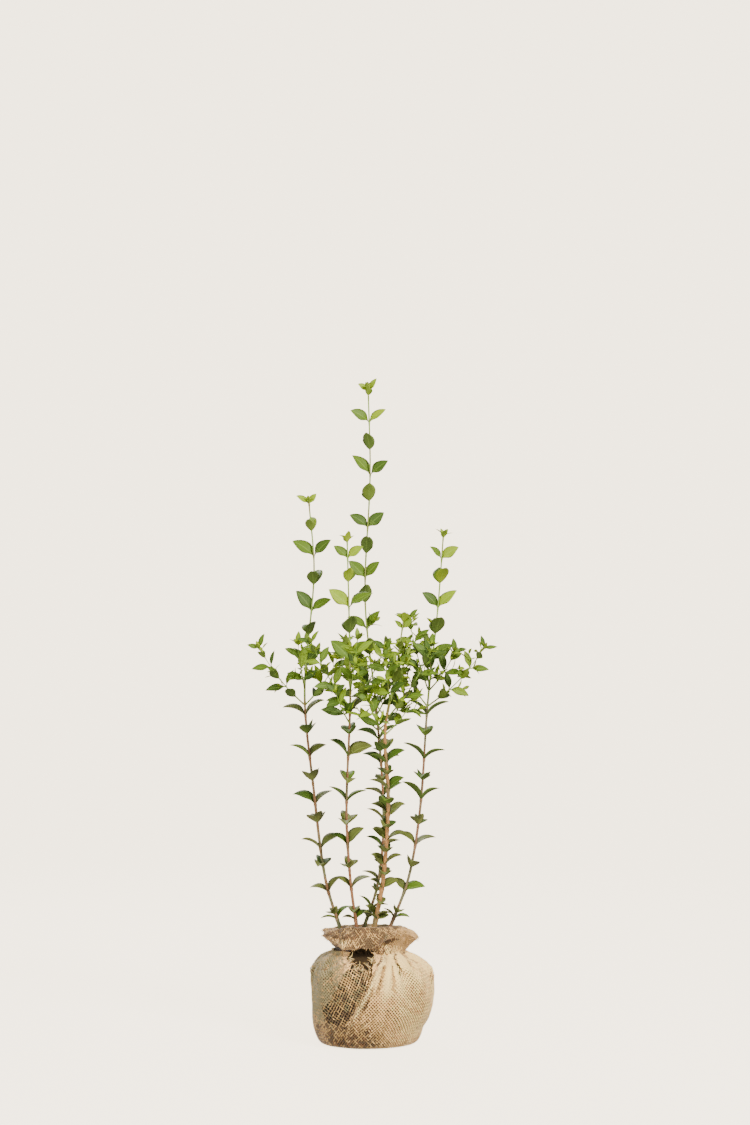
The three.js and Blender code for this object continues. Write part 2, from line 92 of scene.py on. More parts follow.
# Cloth of the ball
THREAD_PITCH = 3.9
THREAD_LIFT = 0.8
THREAD_CREST = 0.7
WAVE_STEPS = 4
BALL_THREADS = 112
BALL_ROWS = 110
BALL_COLUMNS = 240
FRILL_THREADS = 116
FRILL_PITCH = 2.7
TEAR_CENTRE = (-12, 142)
TEAR_SIZE = (22, 17)
LOOSE_FROM = (-15, 122)
LOOSE_TO = (-52, 57)
LOOSE_WIDTH = 22
LOOSE_PITCH = 4.1
LOOSE_THREADS = (17, 30)
LOOSE_COVER = 0.36
LOOSE_PLACE = (-60, 60)
LOOSE_STEEP = 73
LOOSE_FALL = -37
LOOSE_BEND = 16

# Frill
FRILL_MIDDLE = -1
FRILL_WAVES = 9
FRILL_WAVE_DEPTH = 1.8
FRILL_INSIDE = 30
FRILL_ROWS = 60
FRILL_COLUMNS = 200

# Loose ends and hairs
FRINGE_ENDS = 330
TEAR_ENDS = 64
HAIRS = 420

# Limbs
CANE_CUT = 36
CANE_STEP = 36
LEADER_STEP = 48
FLARE = 1.7
FLARE_HEIGHT = 14
TIP_RADIUS = 0.95
TAPER = 0.4
SHOOT_STEPS = 4
SHOOT_RADIUS = 1.15
SHOOT_TIP_RADIUS = 0.5
SHOOT_GAP = 21
SHOOT_STAND = 0.45
NODE_RISE = 26
FOOT_HEIGHT = SOIL_TOP + 0.3
LIMB_CLEARANCE = 1.6

# Leaves
LEAF_CLEARANCE = 3.4
LEAF_SLENDERNESS = 0.26
LEAF_FOLD = 0.28
TWIST_END = 0.35
TWIST_TO_LIGHT = 62
OLD_TWIST = 12
PETIOLE = 0.05
LOW_LEAF = 29
CANE_LEAF = 40
LEADER_LEAF = 41
SHOOT_LEAF = 35
TIP_LEAF = 23
BUD_LEAF = 13
CANE_RISE = 57
CANE_DROOP = 48
FACING_DROOP = 34
CROWDING = 54
LEADER_RISE = 55
BARE_TIP = 12
YOUNG_REACH = 90
FULL_GAP = 36
SHOOT_RISE = 47
YOUNG_DROOP = 26
TIP_RISE = 57
TIP_DROOP = 18
BUD_RISE = 66
BUD_DROOP = 12
LEAF_FLOOR = 192
BLADE_START = 0.03
BLADE_ROWS = np.array([0.03, 0.08, 0.14, 0.21, 0.3, 0.41, 0.53, 0.65, 0.77, 0.87, 0.95, 1])
BLADE_WIDTHS = {"cane": 1.32, "leader": 1.06, "shoot": 0.8, "spur": 0.74}
BLADE_SIDES = np.array([-1, -0.6, 0, 0.6, 1])
BLADE_THICKNESS = 0.3

# Seeds of the growth, as in the source, and of what is dressed here alone
CANE_SEED = 11
LEADER_SEED = 31
SHOOT_SEED = 101
LEAF_TONE_SEED = 401
SPUR_SEED = 701
BASAL_SEED = 821
SOIL_SEED = 907
FRINGE_SEED = 613
FIBRE_SEED = 511
BALL_WEAVE_SEED = 61
LOOSE_WEAVE_SEED = 65
FRILL_WEAVE_SEED = 71
BALL_TONE_SEED = 50
LOOSE_TONE_SEED = 130
FRILL_TONE_SEED = 150

# Layers of noise: how strong each one is, its size in millimetres and its seed
BALL_RUMPLE = [(1.5, 26, 3), (0.7, 10, 4)]
BALL_STIR = [(0.08, 12, 31), (0.08, 5, 32)]
FRILL_RUMPLE = [(1.2, 13, 12), (0.8, 6, 13)]
FRILL_PUFF = [(1.3, 12, 14), (0.7, 5, 15)]
SOIL_LUMPS = [(1.1, 9, 5), (0.8, 4, 6), (0.4, 2, 7)]

# Where each cane runs, from its foot to its tip. girth is its radius at the foot and whorl the
# height at which the side shoots spring. leaves and leader give the first height, the spacing
# and the turn of the pairs of leaves, and leaves their number too. A shoot has a turn, a tilt, a
# length and its node.
CANES = [
    {
        "name": "left",
        "girth": 2.5,
        "route": [(-46, 2, 176), (-71, 5, 258), (-90, 9, 400), (-105, 13, 560), (-90, 12, 751),
                  (-98, 8, 865)],
        "whorl": 541,
        "leaves": (205, 35.5, 90, 10),
        "leader": (606, 42.5, 0),
        "shoots": [(180, 38, 116, 0), (22, 36, 96, 0), (262, 40, 88, 1), (88, 38, 92, 1)],
    },
    {
        "name": "middle_left",
        "girth": 2.4,
        "route": [(-20, -9, 176), (-31, -20, 260), (-37, -36, 371), (-31, -54, 545),
                  (-33, -50, 687), (-36, -40, 799)],
        "whorl": 538,
        "leaves": (208, 35.5, 90, 10),
        "leader": (610, 40, 0),
        "shoots": [(190, 31, 116, 0), (345, 31, 110, 0), (282, 36, 94, 1), (98, 36, 96, 1),
                   (242, 42, 62, -1)],
    },
    {
        "name": "back",
        "girth": 2.3,
        "route": [(-12, 13, 176), (12, 24, 249), (22, 38, 353), (11, 58, 525), (-8, 56, 708),
                  (0, 42, 912), (-3, 30, 1050)],
        "whorl": 526,
        "leaves": (214, 22.5, 0, 13),
        "leader": (622, 41.5, 90),
        "shoots": [(125, 33, 108, 0), (318, 28, 118, 0), (35, 34, 106, 1), (212, 34, 98, 1),
                   (168, 40, 70, -1), (345, 40, 66, -1)],
    },
    {
        "name": "front",
        "girth": 3.6,
        "route": [(5, -11, 176), (21, -22, 263), (29, -33, 387), (24, -42, 500), (39, -46, 580),
                  (53, -50, 673)],
        "whorl": 520,
        "leaves": (204, 20, 0, 14),
        "leader": (574, 27, 90),
        "shoots": [(352, 33, 120, 0), (160, 31, 106, 0), (262, 36, 98, 1), (62, 33, 102, 1),
                   (234, 40, 66, -1), (20, 40, 68, -1)],
    },
    {
        "name": "right",
        "girth": 2.4,
        "route": [(30, 14, 176), (62, 20, 261), (81, 26, 374), (93, 30, 540), (109, 25, 692),
                  (118, 18, 812)],
        "whorl": 539,
        "leaves": (206, 35.5, 90, 10),
        "leader": (611, 41, 0),
        "shoots": [(2, 44, 130, 0), (205, 33, 76, 0), (172, 15, 118, 1), (335, 36, 74, 1),
                   (92, 38, 94, 1), (272, 38, 86, 1)],
    },
]


# Numbers and noise

def dice(seed):
    state = [seed]

    def roll(low, high):
        state[0] = (state[0] * 1664525 + 1013904223) % 4294967296
        return low + (high - low) * state[0] / 4294967296

    return roll


def unit(vectors):
    return vectors / np.maximum(np.linalg.norm(vectors, axis=-1, keepdims=True), 1e-9)


def blend(low, high, share):
    return low + (high - low) * share


def smooth(low, high, value):
    share = np.clip((value - low) / (high - low), 0, 1)
    return share * share * (3 - 2 * share)


def turns_round(count):
    return 2 * math.pi * np.arange(count) / count


def together(*parts):
    """Coordinates brought to one shape and joined into points."""
    return np.stack(np.broadcast_arrays(*parts), axis=-1)


def polar(radius, angle, height, middle=0):
    """Points at these angles round an upright axis."""
    return together(middle + radius * np.cos(angle), radius * np.sin(angle), height)


def run_along(path):
    """Millimetres along a path at each of its points."""
    return np.concatenate([[0], np.cumsum(np.linalg.norm(np.diff(path, axis=0), axis=1))])


def lattice(cells, seed):
    x, y, z = np.moveaxis(cells, -1, 0)
    mixed = x * 73856093 ^ y * 19349663 ^ z * 83492791 ^ seed * 2654435
    mixed = (mixed ^ (mixed >> 13)) * 1274126177
    return ((mixed ^ (mixed >> 16)) & 0xFFFFFF) / 0x7FFFFF - 1


def noise(points, size, seed=0):
    """Smooth noise from -1 to 1 at points, with lumps of about this size."""
    places = np.asarray(points, float) / size
    cells = np.floor(places).astype(np.int64)
    share = places - cells
    share = share * share * (3 - 2 * share)
    total = 0
    for corner in np.ndindex(2, 2, 2):
        weight = np.prod(np.where(corner, share, 1 - share), axis=-1)
        total = total + weight * lattice(cells + np.array(corner), seed)
    return total


def layered(points, layers):
    return sum(strength * noise(points, size, seed) for strength, size, seed in layers)


# Meshes

def add_object(name, data):
    made = bpy.data.objects.new(name, data)
    bpy.context.scene.collection.objects.link(made)
    return made


class Pile:
    """Joins many skins into one mesh. Each face has a tone and each point a place on the pattern."""

    def __init__(self):
        self.points, self.faces, self.tones, self.places = [], [], [], []
        self.count = 0

    def add(self, points, faces, tone=0, places=None):
        points = np.asarray(points, float).reshape(-1, 3)
        self.points.append(points)
        self.faces.append(np.asarray(faces) + self.count)
        self.tones.append(np.broadcast_to(tone, len(faces)))
        self.places.append(np.zeros((len(points), 2)) if places is None else places)
        self.count += len(points)

    def piece(self, name, materials, slot, *nodes):
        points = np.concatenate(self.points) * MM
        corners = np.concatenate([faces.ravel() for faces in self.faces]).astype(np.int32)
        sizes = np.concatenate([np.full(len(faces), faces.shape[1]) for faces in self.faces])
        mesh = bpy.data.meshes.new(name)
        mesh.vertices.add(len(points))
        mesh.vertices.foreach_set("co", points.astype(np.float32).ravel())
        mesh.loops.add(len(corners))
        mesh.loops.foreach_set("vertex_index", corners)
        mesh.polygons.add(len(sizes))
        mesh.polygons.foreach_set("loop_start", (np.cumsum(sizes) - sizes).astype(np.int32))
        mesh.polygons.foreach_set("material_index", np.concatenate(self.tones).astype(np.int32))
        layer = mesh.uv_layers.new(name="Pattern")
        layer.data.foreach_set("uv", np.concatenate(self.places)[corners].astype(np.float32).ravel())
        mesh.update(calc_edges=True)
        mesh.shade_smooth()
        for material in materials:
            mesh.materials.append(material)
        made = add_object(name, mesh)
        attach(made, "root")
        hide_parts(*nodes)


def grid_faces(rows, columns, loop=False):
    """Quads of a grid of points, row by row. A loop joins the last column to the first."""
    row, column = np.mgrid[0:rows - 1, 0:columns if loop else columns - 1]
    following = (column + 1) % columns
    low, high = row * columns, (row + 1) * columns
    quads = [low + column, low + following, high + following, high + column]
    return np.stack(quads, axis=-1).reshape(-1, 4)


SLANT = unit(np.array([0.91, 0.17, -0.38]))


def rings(path, radii, sides, reference):
    """Points and faces round a path. Their turn starts towards the reference."""
    along = unit(np.gradient(path, axis=0))
    across = unit(reference - (along @ reference)[:, None] * along)
    over = np.cross(along, across)
    turn = turns_round(sides)[None, :, None]
    ring = np.cos(turn) * across[:, None] + np.sin(turn) * over[:, None]
    points = path[:, None] + radii[:, :, None] * ring
    return points.reshape(-1, 3), grid_faces(len(path), sides, True)


def tube(path, radii, sides):
    """A round skin, its tone and its pattern places: turn, and millimetres along."""
    path = np.asarray(path, float)
    radii = np.asarray(radii, float).reshape(len(path), -1)
    points, faces = rings(path, radii, sides, SLANT)
    around = 1 - np.abs(2 * np.arange(sides) / sides - 1)
    places = together(around[None, :], run_along(path)[:, None])
    return points, faces, 0, places.reshape(-1, 2)


# Materials

def colour(red, green, blue):
    """Display values from 0 to 255 as linear light."""
    parts = [value / 255 for value in (red, green, blue)]
    linear = [part / 12.92 if part < 0.04045 else ((part + 0.055) / 1.055) ** 2.4 for part in parts]
    return (*linear, 1)


def shaded(tone, factor):
    """A tone made darker or lighter in the same hue."""
    factor = min(factor, 1 / max(tone[:3]))
    return (*[part * factor for part in tone[:3]], 1)


class Paint:
    """A material in the making, round one shader."""

    def __init__(self, name, roughness, specular=0.3):
        self.material = bpy.data.materials.new(name)
        self.material.use_nodes = True
        self.tree = self.material.node_tree
        self.shader = self.tree.nodes["Principled BSDF"]
        self.shader.inputs["Roughness"].default_value = roughness
        self.shader.inputs["Specular IOR Level"].default_value = specular

    def node(self, kind, inputs, output=0, **settings):
        made = self.tree.nodes.new("ShaderNode" + kind)
        for name, value in settings.items():
            setattr(made, name, value)
        for key, value in inputs.items():
            self.join(value, made.inputs[key])
        return made.outputs[output]

    def join(self, value, socket):
        if isinstance(value, bpy.types.NodeSocket):
            self.tree.links.new(value, socket)
        else:
            socket.default_value = value

    def math(self, operation, first, second=0.0, third=0.0):
        return self.node("Math", {0: first, 1: second, 2: third}, operation=operation)

    def spread(self, value, low, high, to_low=0.0, to_high=1.0):
        return self.node("MapRange", {0: value, 1: low, 2: high, 3: to_low, 4: to_high})

    def mix(self, share, first, second):
        return self.node("Mix", {0: share, 6: first, 7: second}, output=2, data_type="RGBA")

    def dye(self, value, low, high, base, over, reach=1.0):
        """The base colour, with the other one laid on as the value rises from low to high."""
        return self.mix(self.spread(value, low, high, 0.0, reach), base, over)

    def place(self, scale, uv=False):
        source = self.tree.nodes.new("ShaderNodeTexCoord").outputs["UV" if uv else "Object"]
        scale = scale if isinstance(scale, tuple) else (scale, scale, scale)
        return self.node("Mapping", {"Vector": source, "Scale": scale})

    def parts(self, place):
        made = self.tree.nodes.new("ShaderNodeSeparateXYZ")
        self.join(place, made.inputs[0])
        return made.outputs

    def noise(self, scale, detail=3.0, uv=False, roughness=0.55):
        inputs = {"Vector": self.place(scale, uv), "Scale": 1.0, "Detail": detail, "Roughness": roughness}
        return self.node("TexNoise", inputs)

    def finish(self, base, height=None, depth=0.3, strength=0.5):
        self.join(base, self.shader.inputs["Base Color"])
        if height is not None:
            inputs = {"Strength": strength, "Distance": depth * MM, "Height": height}
            self.join(self.node("Bump", inputs), self.shader.inputs["Normal"])
        return self.material


def leaf_material(name, tone, rib, rough, gloss):
    """A blade with a pale midrib, slanting veins and a pale margin."""
    paint = Paint(name, rough, gloss)
    across, run, _ = paint.parts(paint.place(1, uv=True))
    off = paint.math("ABSOLUTE", paint.math("SUBTRACT", across, 0.5))
    midrib = paint.spread(off, 0.012, 0.05, 1.0, 0.0)
    slant = paint.math("MULTIPLY_ADD", run, 8.5, paint.math("MULTIPLY", off, -6.5))
    vein = paint.spread(paint.math("SINE", paint.math("MULTIPLY", slant, 2 * math.pi)), 0.72, 1.0)
    mottle = paint.noise(150, 4.0)
    patch = paint.noise(38, 2.0)
    warm = (min(1, tone[0] * 1.25), tone[1] * 1.05, tone[2] * 0.8, 1)
    base = paint.dye(mottle, 0.3, 0.7, shaded(tone, 0.92), shaded(tone, 1.08))
    base = paint.dye(patch, 0.42, 0.72, base, warm, 0.5)
    base = paint.mix(paint.math("MULTIPLY", vein, 0.2), base, rib)
    base = paint.mix(paint.math("MULTIPLY", midrib, 0.7), base, rib)
    base = paint.dye(off, 0.46, 0.5, base, rib, 0.25)
    relief = paint.math("ADD", paint.math("MULTIPLY", vein, -0.5), paint.math("MULTIPLY", midrib, -1.0))
    return paint.finish(base, paint.math("MULTIPLY_ADD", mottle, 0.5, relief), 0.2, 0.28)


LEAF_TONES = {
    "old": ((76, 83, 34), (104, 108, 58)),
    "deep": ((52, 73, 17), (84, 102, 42)),
    "mid": ((69, 92, 18), (100, 118, 44)),
    "bright": ((92, 114, 16), (116, 136, 40)),
    "young": ((112, 133, 18), (128, 146, 34)),
}
OLD, DEEP, MID, BRIGHT, YOUNG = range(len(LEAF_TONES))
RIB_TONE = (150, 172, 78)


def leaf_materials():
    """Two materials for each tone: the blade's upper face and its underside."""
    sides = (("upper", 0.42, 0.55, 0.14), ("under", 0.45, 0.7, 0.1))
    made = []
    for name, tones in LEAF_TONES.items():
        for tone, (side, paleness, rough, gloss) in zip(tones, sides):
            rib = colour(*[blend(part, full, paleness) for part, full in zip(tone, RIB_TONE)])
            made.append(leaf_material(f"leaf_{name}_{side}", colour(*tone), rib, rough, gloss))
    return made


def stem_material():
    paint = Paint("green_stem", 0.5, 0.35)
    streak = paint.noise((1400, 1400, 90), 3.0)
    patch = paint.noise((45, 45, 22), 2.0)
    base = paint.dye(streak, 0.3, 0.7, colour(82, 108, 32), colour(120, 148, 46))
    base = paint.dye(patch, 0.5, 0.75, base, colour(104, 84, 44))
    return paint.finish(base, streak, 0.3, 0.5)


def bark_material(name, top):
    """Thin young bark: streaked, patched with grey green, dotted with pale breathing pores."""
    paint = Paint(f"bark_{name}", 0.72, 0.25)
    warm, cool, share = BARKS[name]
    warm, cool = colour(*warm), colour(*cool)
    streak = paint.noise((1300, 1300, 70), 5.0)
    patch = paint.noise((70, 70, 17), 3.0)
    pore = paint.node("TexVoronoi", {"Vector": paint.place((420, 420, 190)), "Scale": 1.0})
    dot = paint.spread(pore, 0.1, 0.24, 1.0, 0.0)
    base = paint.dye(streak, 0.3, 0.7, shaded(warm, 0.62), shaded(warm, 1.25))
    lean = paint.dye(streak, 0.3, 0.7, shaded(cool, 0.7), shaded(cool, 1.2))
    base = paint.dye(patch, 0.62 - share * 0.3, 0.72 - share * 0.3, base, lean)
    base = paint.mix(paint.math("MULTIPLY", dot, 0.55), base, colour(200, 152, 92))
    height = paint.parts(paint.tree.nodes.new("ShaderNodeTexCoord").outputs["Object"])[2]
    ripple = paint.math("MULTIPLY_ADD", patch, 0.05, height)
    base = paint.dye(ripple, (top - 45) * MM + 0.025, top * MM + 0.03, base, colour(118, 146, 50), 0.85)
    return paint.finish(base, paint.math("MULTIPLY_ADD", dot, 0.8, streak), 0.5, 0.7)


# Each cane's warm and cool tone, and the share of the cool one
BARKS = {
    "left": ((118, 84, 54), (93, 94, 58), 0.5),
    "middle_left": ((124, 82, 53), (98, 90, 56), 0.25),
    "back": ((114, 79, 49), (88, 90, 52), 0.4),
    "front": ((155, 109, 61), (116, 98, 60), 0.2),
    "right": ((122, 86, 60), (96, 92, 62), 0.45),
}

# Tones of the jute. The pale tone is also laid on as painted highlight: on the ball's fan of pleats,
# their crests and its right side, and on the right of the frill's neck. The dark tone is laid on as
# painted shade on the left of the frill's neck and under its lip.
THREAD_TONES = {
    "pale": (255, 218, 138),
    "cream": (238, 188, 118),
    "tan": (193, 151, 90),
    "olive": (140, 124, 82),
    "brown": (106, 82, 52),
    "rust": (138, 98, 60),
    "dark": (62, 47, 30),
}
TONE_NAMES = list(THREAD_TONES)

# How dark a thread's fibres go and how much painted shade darkens its sides, less on the two palest tones
THREAD_SHADES = {"pale": (0.78, 0.32), "cream": (0.68, 0.52)}
DEEP_SHADES = (0.6, 0.62)

# The inner face of the cloth: light and dark. The shaded one, near black, is painted shade seen through
# the holes of the slack patch.
CLOTH_TONES = {
    "gap": ((52, 40, 23), (30, 22, 12)),
    "shaded": ((24, 17, 10), (12, 8, 5)),
    "frill": ((84, 58, 40), (48, 33, 22)),
    "matted": ((168, 136, 84), (112, 88, 54)),
}
GAP, SHADED, FRILLED, MATTED = range(len(CLOTH_TONES))


def thread_material(name, tone):
    """Jute yarn: fibres run along each thread, which darkens and pales along its length. Its sides are
    darkened with painted shade.
    """
    paint = Paint(f"jute_{name}", 0.85, 0.15)
    tone = colour(*tone)
    fibre_shade, side_shade = THREAD_SHADES.get(name, DEEP_SHADES)
    paint.shader.inputs["Sheen Weight"].default_value = 0.25
    paint.shader.inputs["Sheen Roughness"].default_value = 0.5
    fibre = paint.noise((9, 0.35, 1), 4.0, uv=True)
    slub = paint.noise((0.9, 0.12, 1), 2.0, uv=True)
    dust = paint.noise(900, 2.0)
    base = paint.dye(fibre, 0.28, 0.72, shaded(tone, fibre_shade), shaded(tone, 1.2))
    base = paint.dye(slub, 0.35, 0.7, base, shaded(tone, 1.35), 0.5)
    base = paint.dye(dust, 0.62, 0.8, base, colour(98, 74, 44), 0.5)
    # Painted shade: each thread is darkened towards both its edges
    around = paint.parts(paint.place(1, uv=True))[0]
    across = paint.math("SUBTRACT", paint.math("FRACT", around), 0.5)
    base = paint.dye(paint.math("ABSOLUTE", across), 0.16, 0.5, base, shaded(tone, 0.2), side_shade)
    return paint.finish(base, fibre, 0.5, 0.8)


def cloth_material(name, light, dark):
    """The matted inner face of the cloth, seen between the threads; near black for the shaded tone, which
    is painted shade.
    """
    paint = Paint(name, 0.95, 0.1)
    light, dark = colour(*light), colour(*dark)
    fuzz = paint.noise(700, 5.0)
    patch = paint.noise(60, 3.0)
    base = paint.dye(fuzz, 0.35, 0.68, dark, light)
    base = paint.dye(patch, 0.4, 0.7, base, shaded(light, 0.6), 0.6)
    return paint.finish(base, fuzz, 0.8, 0.8)


def soil_material():
    paint = Paint("soil", 0.97, 0.1)
    grain = paint.noise(900, 6.0)
    clod = paint.noise(180, 3.0)
    base = paint.dye(grain, 0.35, 0.7, colour(26, 19, 11), colour(72, 55, 34))
    base = paint.dye(clod, 0.45, 0.7, base, colour(46, 39, 20), 0.5)
    return paint.finish(base, grain, 1.2, 0.9)


# Camera, stage and lights

def add_camera():
    data = bpy.data.cameras.new("camera")
    data.lens = LENS
    data.sensor_width = SENSOR
    data.shift_y = (HORIZON_ROW - PHOTO_SIZE[1] / 2) / PHOTO_SIZE[1]
    data.clip_end = 100
    camera = add_object("camera", data)
    camera.location = Vector(CAMERA_PLACE) * MM
    camera.rotation_euler = (math.pi / 2, 0, 0)
    bpy.context.scene.camera = camera


def stage_material():
    paint = Paint("paper", 0.9, 0.1)
    strength = max(PAPER_GLOW)
    glow = [part / strength for part in PAPER_GLOW]
    paint.shader.inputs["Emission Color"].default_value = (*glow, 1)
    paint.shader.inputs["Emission Strength"].default_value = strength
    return paint.finish(paint.mix(paint.noise(3, 3.0), colour(124, 120, 116), colour(128, 124, 120)))


def add_stage():
    """A round paper floor that curves up into a wall, the same from every side."""
    foot = FLOOR_RADIUS - WALL_CURVE
    section = [(radius, 0) for radius in (0, 400, 900, 1600, 2600, foot)]
    for turn in math.pi / 2 * np.arange(1, 9) / 8:
        section.append((foot + WALL_CURVE * math.sin(turn), WALL_CURVE * (1 - math.cos(turn))))
    section.append((FLOOR_RADIUS, WALL_HEIGHT))
    radii, heights = np.array(section, float).T[:, :, None]
    points = polar(radii, turns_round(STAGE_SIDES), heights).reshape(-1, 3) * MM
    mesh = bpy.data.meshes.new("paper_floor")
    mesh.from_pydata(points.tolist(), [], grid_faces(len(section), STAGE_SIDES, True).tolist())
    mesh.shade_smooth()
    mesh.materials.append(stage_material())
    floor = add_object("paper_floor", mesh)
    for kind in ("diffuse", "glossy", "transmission", "shadow"):
        setattr(floor, f"visible_{kind}", False)


def add_light(name, place, aim, size, power, tint):
    data = bpy.data.lights.new(name, "AREA")
    data.shape = "DISK"
    data.size = size * MM
    data.energy = power
    data.color = tint
    light = add_object(name, data)
    light.location = Vector(place) * MM
    light.rotation_euler = (Vector(aim) - Vector(place)).to_track_quat("-Z", "Y").to_euler()
    light.visible_camera = False


def add_lights():
    world = bpy.data.worlds.new("sky")
    world.use_nodes = True
    sky = world.node_tree.nodes["Background"].inputs
    sky[0].default_value = SKY_TINT
    sky[1].default_value = SKY_STRENGTH
    bpy.context.scene.world = world
    for name, light in LIGHTS.items():
        add_light(name, *light)


# Limbs

def spot(route, height):
    index = 0
    while index < len(route) - 2 and height > route[index + 1][2]:
        index += 1
    start, end = route[index], route[index + 1]
    before, after = route[max(0, index - 1)], route[min(len(route) - 1, index + 2)]
    span = end[2] - start[2]
    share = (height - start[2]) / span
    place = []
    for axis in (0, 1):
        leave = span * (end[axis] - before[axis]) / (end[2] - before[2])
        arrive = span * (after[axis] - start[axis]) / (after[2] - start[2])
        rise = end[axis] - start[axis]
        bend = (leave - rise) * (1 - share) + (rise - arrive) * share
        place.append(start[axis] + share * rise + share * (1 - share) * bend)
    return np.array([place[0], place[1], height])


def heading(route, height):
    return unit(spot(route, height + 2) - spot(route, height - 2))


def swing(frame_here, turn):
    """The direction at this turn round a stem."""
    return frame_here[1] * math.cos(turn) + frame_here[2] * math.sin(turn)


def frame_of(along, reference):
    across = unit(reference - along * np.dot(reference, along))
    return along, across, np.cross(along, across)


def cane_top(cane):
    return cane["whorl"] + CANE_CUT


def cane_tip(cane):
    return cane["route"][-1][2]


def cane_radius(cane, height):
    share = (height - FOOT_HEIGHT) / (cane_tip(cane) - FOOT_HEIGHT)
    taper = cane["girth"] * max(0, 1 - share) ** TAPER
    return max(TIP_RADIUS, taper) + FLARE * math.exp((FOOT_HEIGHT - height) / FLARE_HEIGHT)


def upright_limb(cane, low, high, step):
    count = max(2, round((high - low) / step))
    heights = [low + (high - low) * index / count for index in range(count + 1)]
    points = np.array([spot(cane["route"], height) for height in heights])
    return points, np.array([cane_radius(cane, height) for height in heights])


def shoot_limb(cane, shoot):
    turn, tilt, length, node = shoot
    height = cane["whorl"] + node * NODE_RISE
    level = np.array([math.cos(math.radians(turn)), math.sin(math.radians(turn)), 0])
    side = np.array([-level[1], level[0], 0])
    point = spot(cane["route"], height) + level * (cane_radius(cane, height) + SHOOT_STAND)
    points, radii, headings = [point], [SHOOT_RADIUS], []
    for step in range(1, SHOOT_STEPS + 1):
        lean = math.radians(tilt * (1.3 - 0.6 * (step - 0.5) / SHOOT_STEPS))
        along = level * math.sin(lean) + np.array([0, 0, math.cos(lean)])
        point = point + along * length / SHOOT_STEPS
        points.append(point)
        radii.append(blend(SHOOT_RADIUS, SHOOT_TIP_RADIUS, step / SHOOT_STEPS))
        headings.append(along)
    return np.array(points), np.array(radii), headings, side


# Leaves by the source's rule

RIGHT = np.array([1.0, 0, 0])


def leaf_outline(share):
    blade = np.clip((share - PETIOLE) / (1 - PETIOLE), 0, 1)
    return np.sin(math.pi * blade ** 0.9) ** 0.8


def leaf_points(leaf, share, side, lift=0, outline=leaf_outline):
    """Points of a leaf at these shares of its length and of its half width."""
    along, out = leaf["frame"][0], swing(leaf["frame"], leaf["turn"])
    share, side, lift = [part[:, None] for part in np.broadcast_arrays(share, side, lift)]
    chord = leaf["rise"] - leaf["droop"] * share / 2
    slant = leaf["rise"] - leaf["droop"] * share
    twist = leaf["twist"] * np.minimum(1, share / TWIST_END)
    blade = out * np.cos(slant) + along * np.sin(slant)
    face = along * np.cos(slant) - out * np.sin(slant)
    edge = np.cross(blade, face)
    up = face * np.cos(twist) + edge * np.sin(twist)
    wide = edge * np.cos(twist) - face * np.sin(twist)
    width = side * leaf["length"] * LEAF_SLENDERNESS * outline(np.clip(share, 0, 1))
    centre = leaf["base"] + leaf["length"] * share * (out * np.cos(chord) + along * np.sin(chord))
    return centre + wide * width * math.cos(LEAF_FOLD) + up * (np.abs(width) * math.sin(LEAF_FOLD) + lift)


# Eight rows of five samples stand for a leaf. Of the row next to the stem only the middle counts.
SAMPLED = [number for number in range(40) if number == 2 or number >= 5]
SAMPLE_SHARES = np.repeat(np.arange(1, 9) / 8, 5)[SAMPLED]
SAMPLE_SIDES = np.tile(np.arange(-2, 3) / 2, 8)[SAMPLED]


def add_pair(mass, base, frame_here, turn, size, rise, droop, roll):
    """A pair of opposite leaves, each turned about its midrib so that its face looks up."""
    for half in (0, 180):
        turned = math.radians(turn + half + roll(-14, 14))
        aside = -np.cross(swing(frame_here, turned), frame_here[0])[1]
        mass["leaves"].append({
            "base": base, "frame": frame_here, "turn": turned,
            "length": size * roll(0.86, 1.1),
            "rise": math.radians(rise + roll(-8, 8)),
            "droop": math.radians(droop + roll(-10, 14)),
            "twist": math.radians(mass["twist"] * aside + roll(-24, 24)),
        })
    mass["nodes"].append((base, frame_here, math.radians(turn), size))


def upright_pair(mass, height, turn, size, rise, droop, roll):
    """A pair of leaves at this height of a cane or leader."""
    route = mass["cane"]["route"]
    here = frame_of(heading(route, height), RIGHT)
    add_pair(mass, spot(route, height), here, turn, size, rise, droop, roll)


def new_mass(cane, kind, limb):
    mass = {"cane": cane, "kind": kind, "limb": limb, "leaves": [], "nodes": [], "kept": [], "spurs": []}
    mass["twist"] = OLD_TWIST if kind == "cane" else TWIST_TO_LIGHT
    return mass


def grow_cane(cane, seed):
    roll = dice(seed)
    mass = new_mass(cane, "cane", upright_limb(cane, FOOT_HEIGHT, cane_top(cane), CANE_STEP))
    first, gap, turn, count = cane["leaves"]
    for pair in range(count):
        height = first + pair * gap + roll(-4, 4)
        grown = min(1, 2 * (pair + 1) / count)
        size = blend(LOW_LEAF, CANE_LEAF, grown) * min(1, 0.5 + gap / CROWDING)
        droop = CANE_DROOP + FACING_DROOP * abs(math.sin(math.radians(turn)))
        upright_pair(mass, height, turn, size, CANE_RISE, droop, roll)
        turn += 90
    return mass


def grow_leader(cane, seed):
    roll = dice(seed)
    tip = cane_tip(cane)
    route = cane["route"]
    mass = new_mass(cane, "leader", upright_limb(cane, cane_top(cane) + 0.3, tip, LEADER_STEP))
    height, gap, turn = cane["leader"]
    while height < tip - BARE_TIP:
        place = height + roll(-3, 3)
        young = max(0, 1 - (tip - height) / YOUNG_REACH)
        size = LEADER_LEAF * (1 - 0.4 * young) * min(1, gap / FULL_GAP)
        upright_pair(mass, place, turn, size, LEADER_RISE + 5 * young, YOUNG_DROOP, roll)
        turn += 90
        height += gap
    here = frame_of(heading(route, tip - 2), RIGHT)
    add_pair(mass, spot(route, tip - 4), here, turn, TIP_LEAF, TIP_RISE, TIP_DROOP, roll)
    add_pair(mass, spot(route, tip - 1), here, turn + 90, BUD_LEAF, BUD_RISE, BUD_DROOP, roll)
    return mass


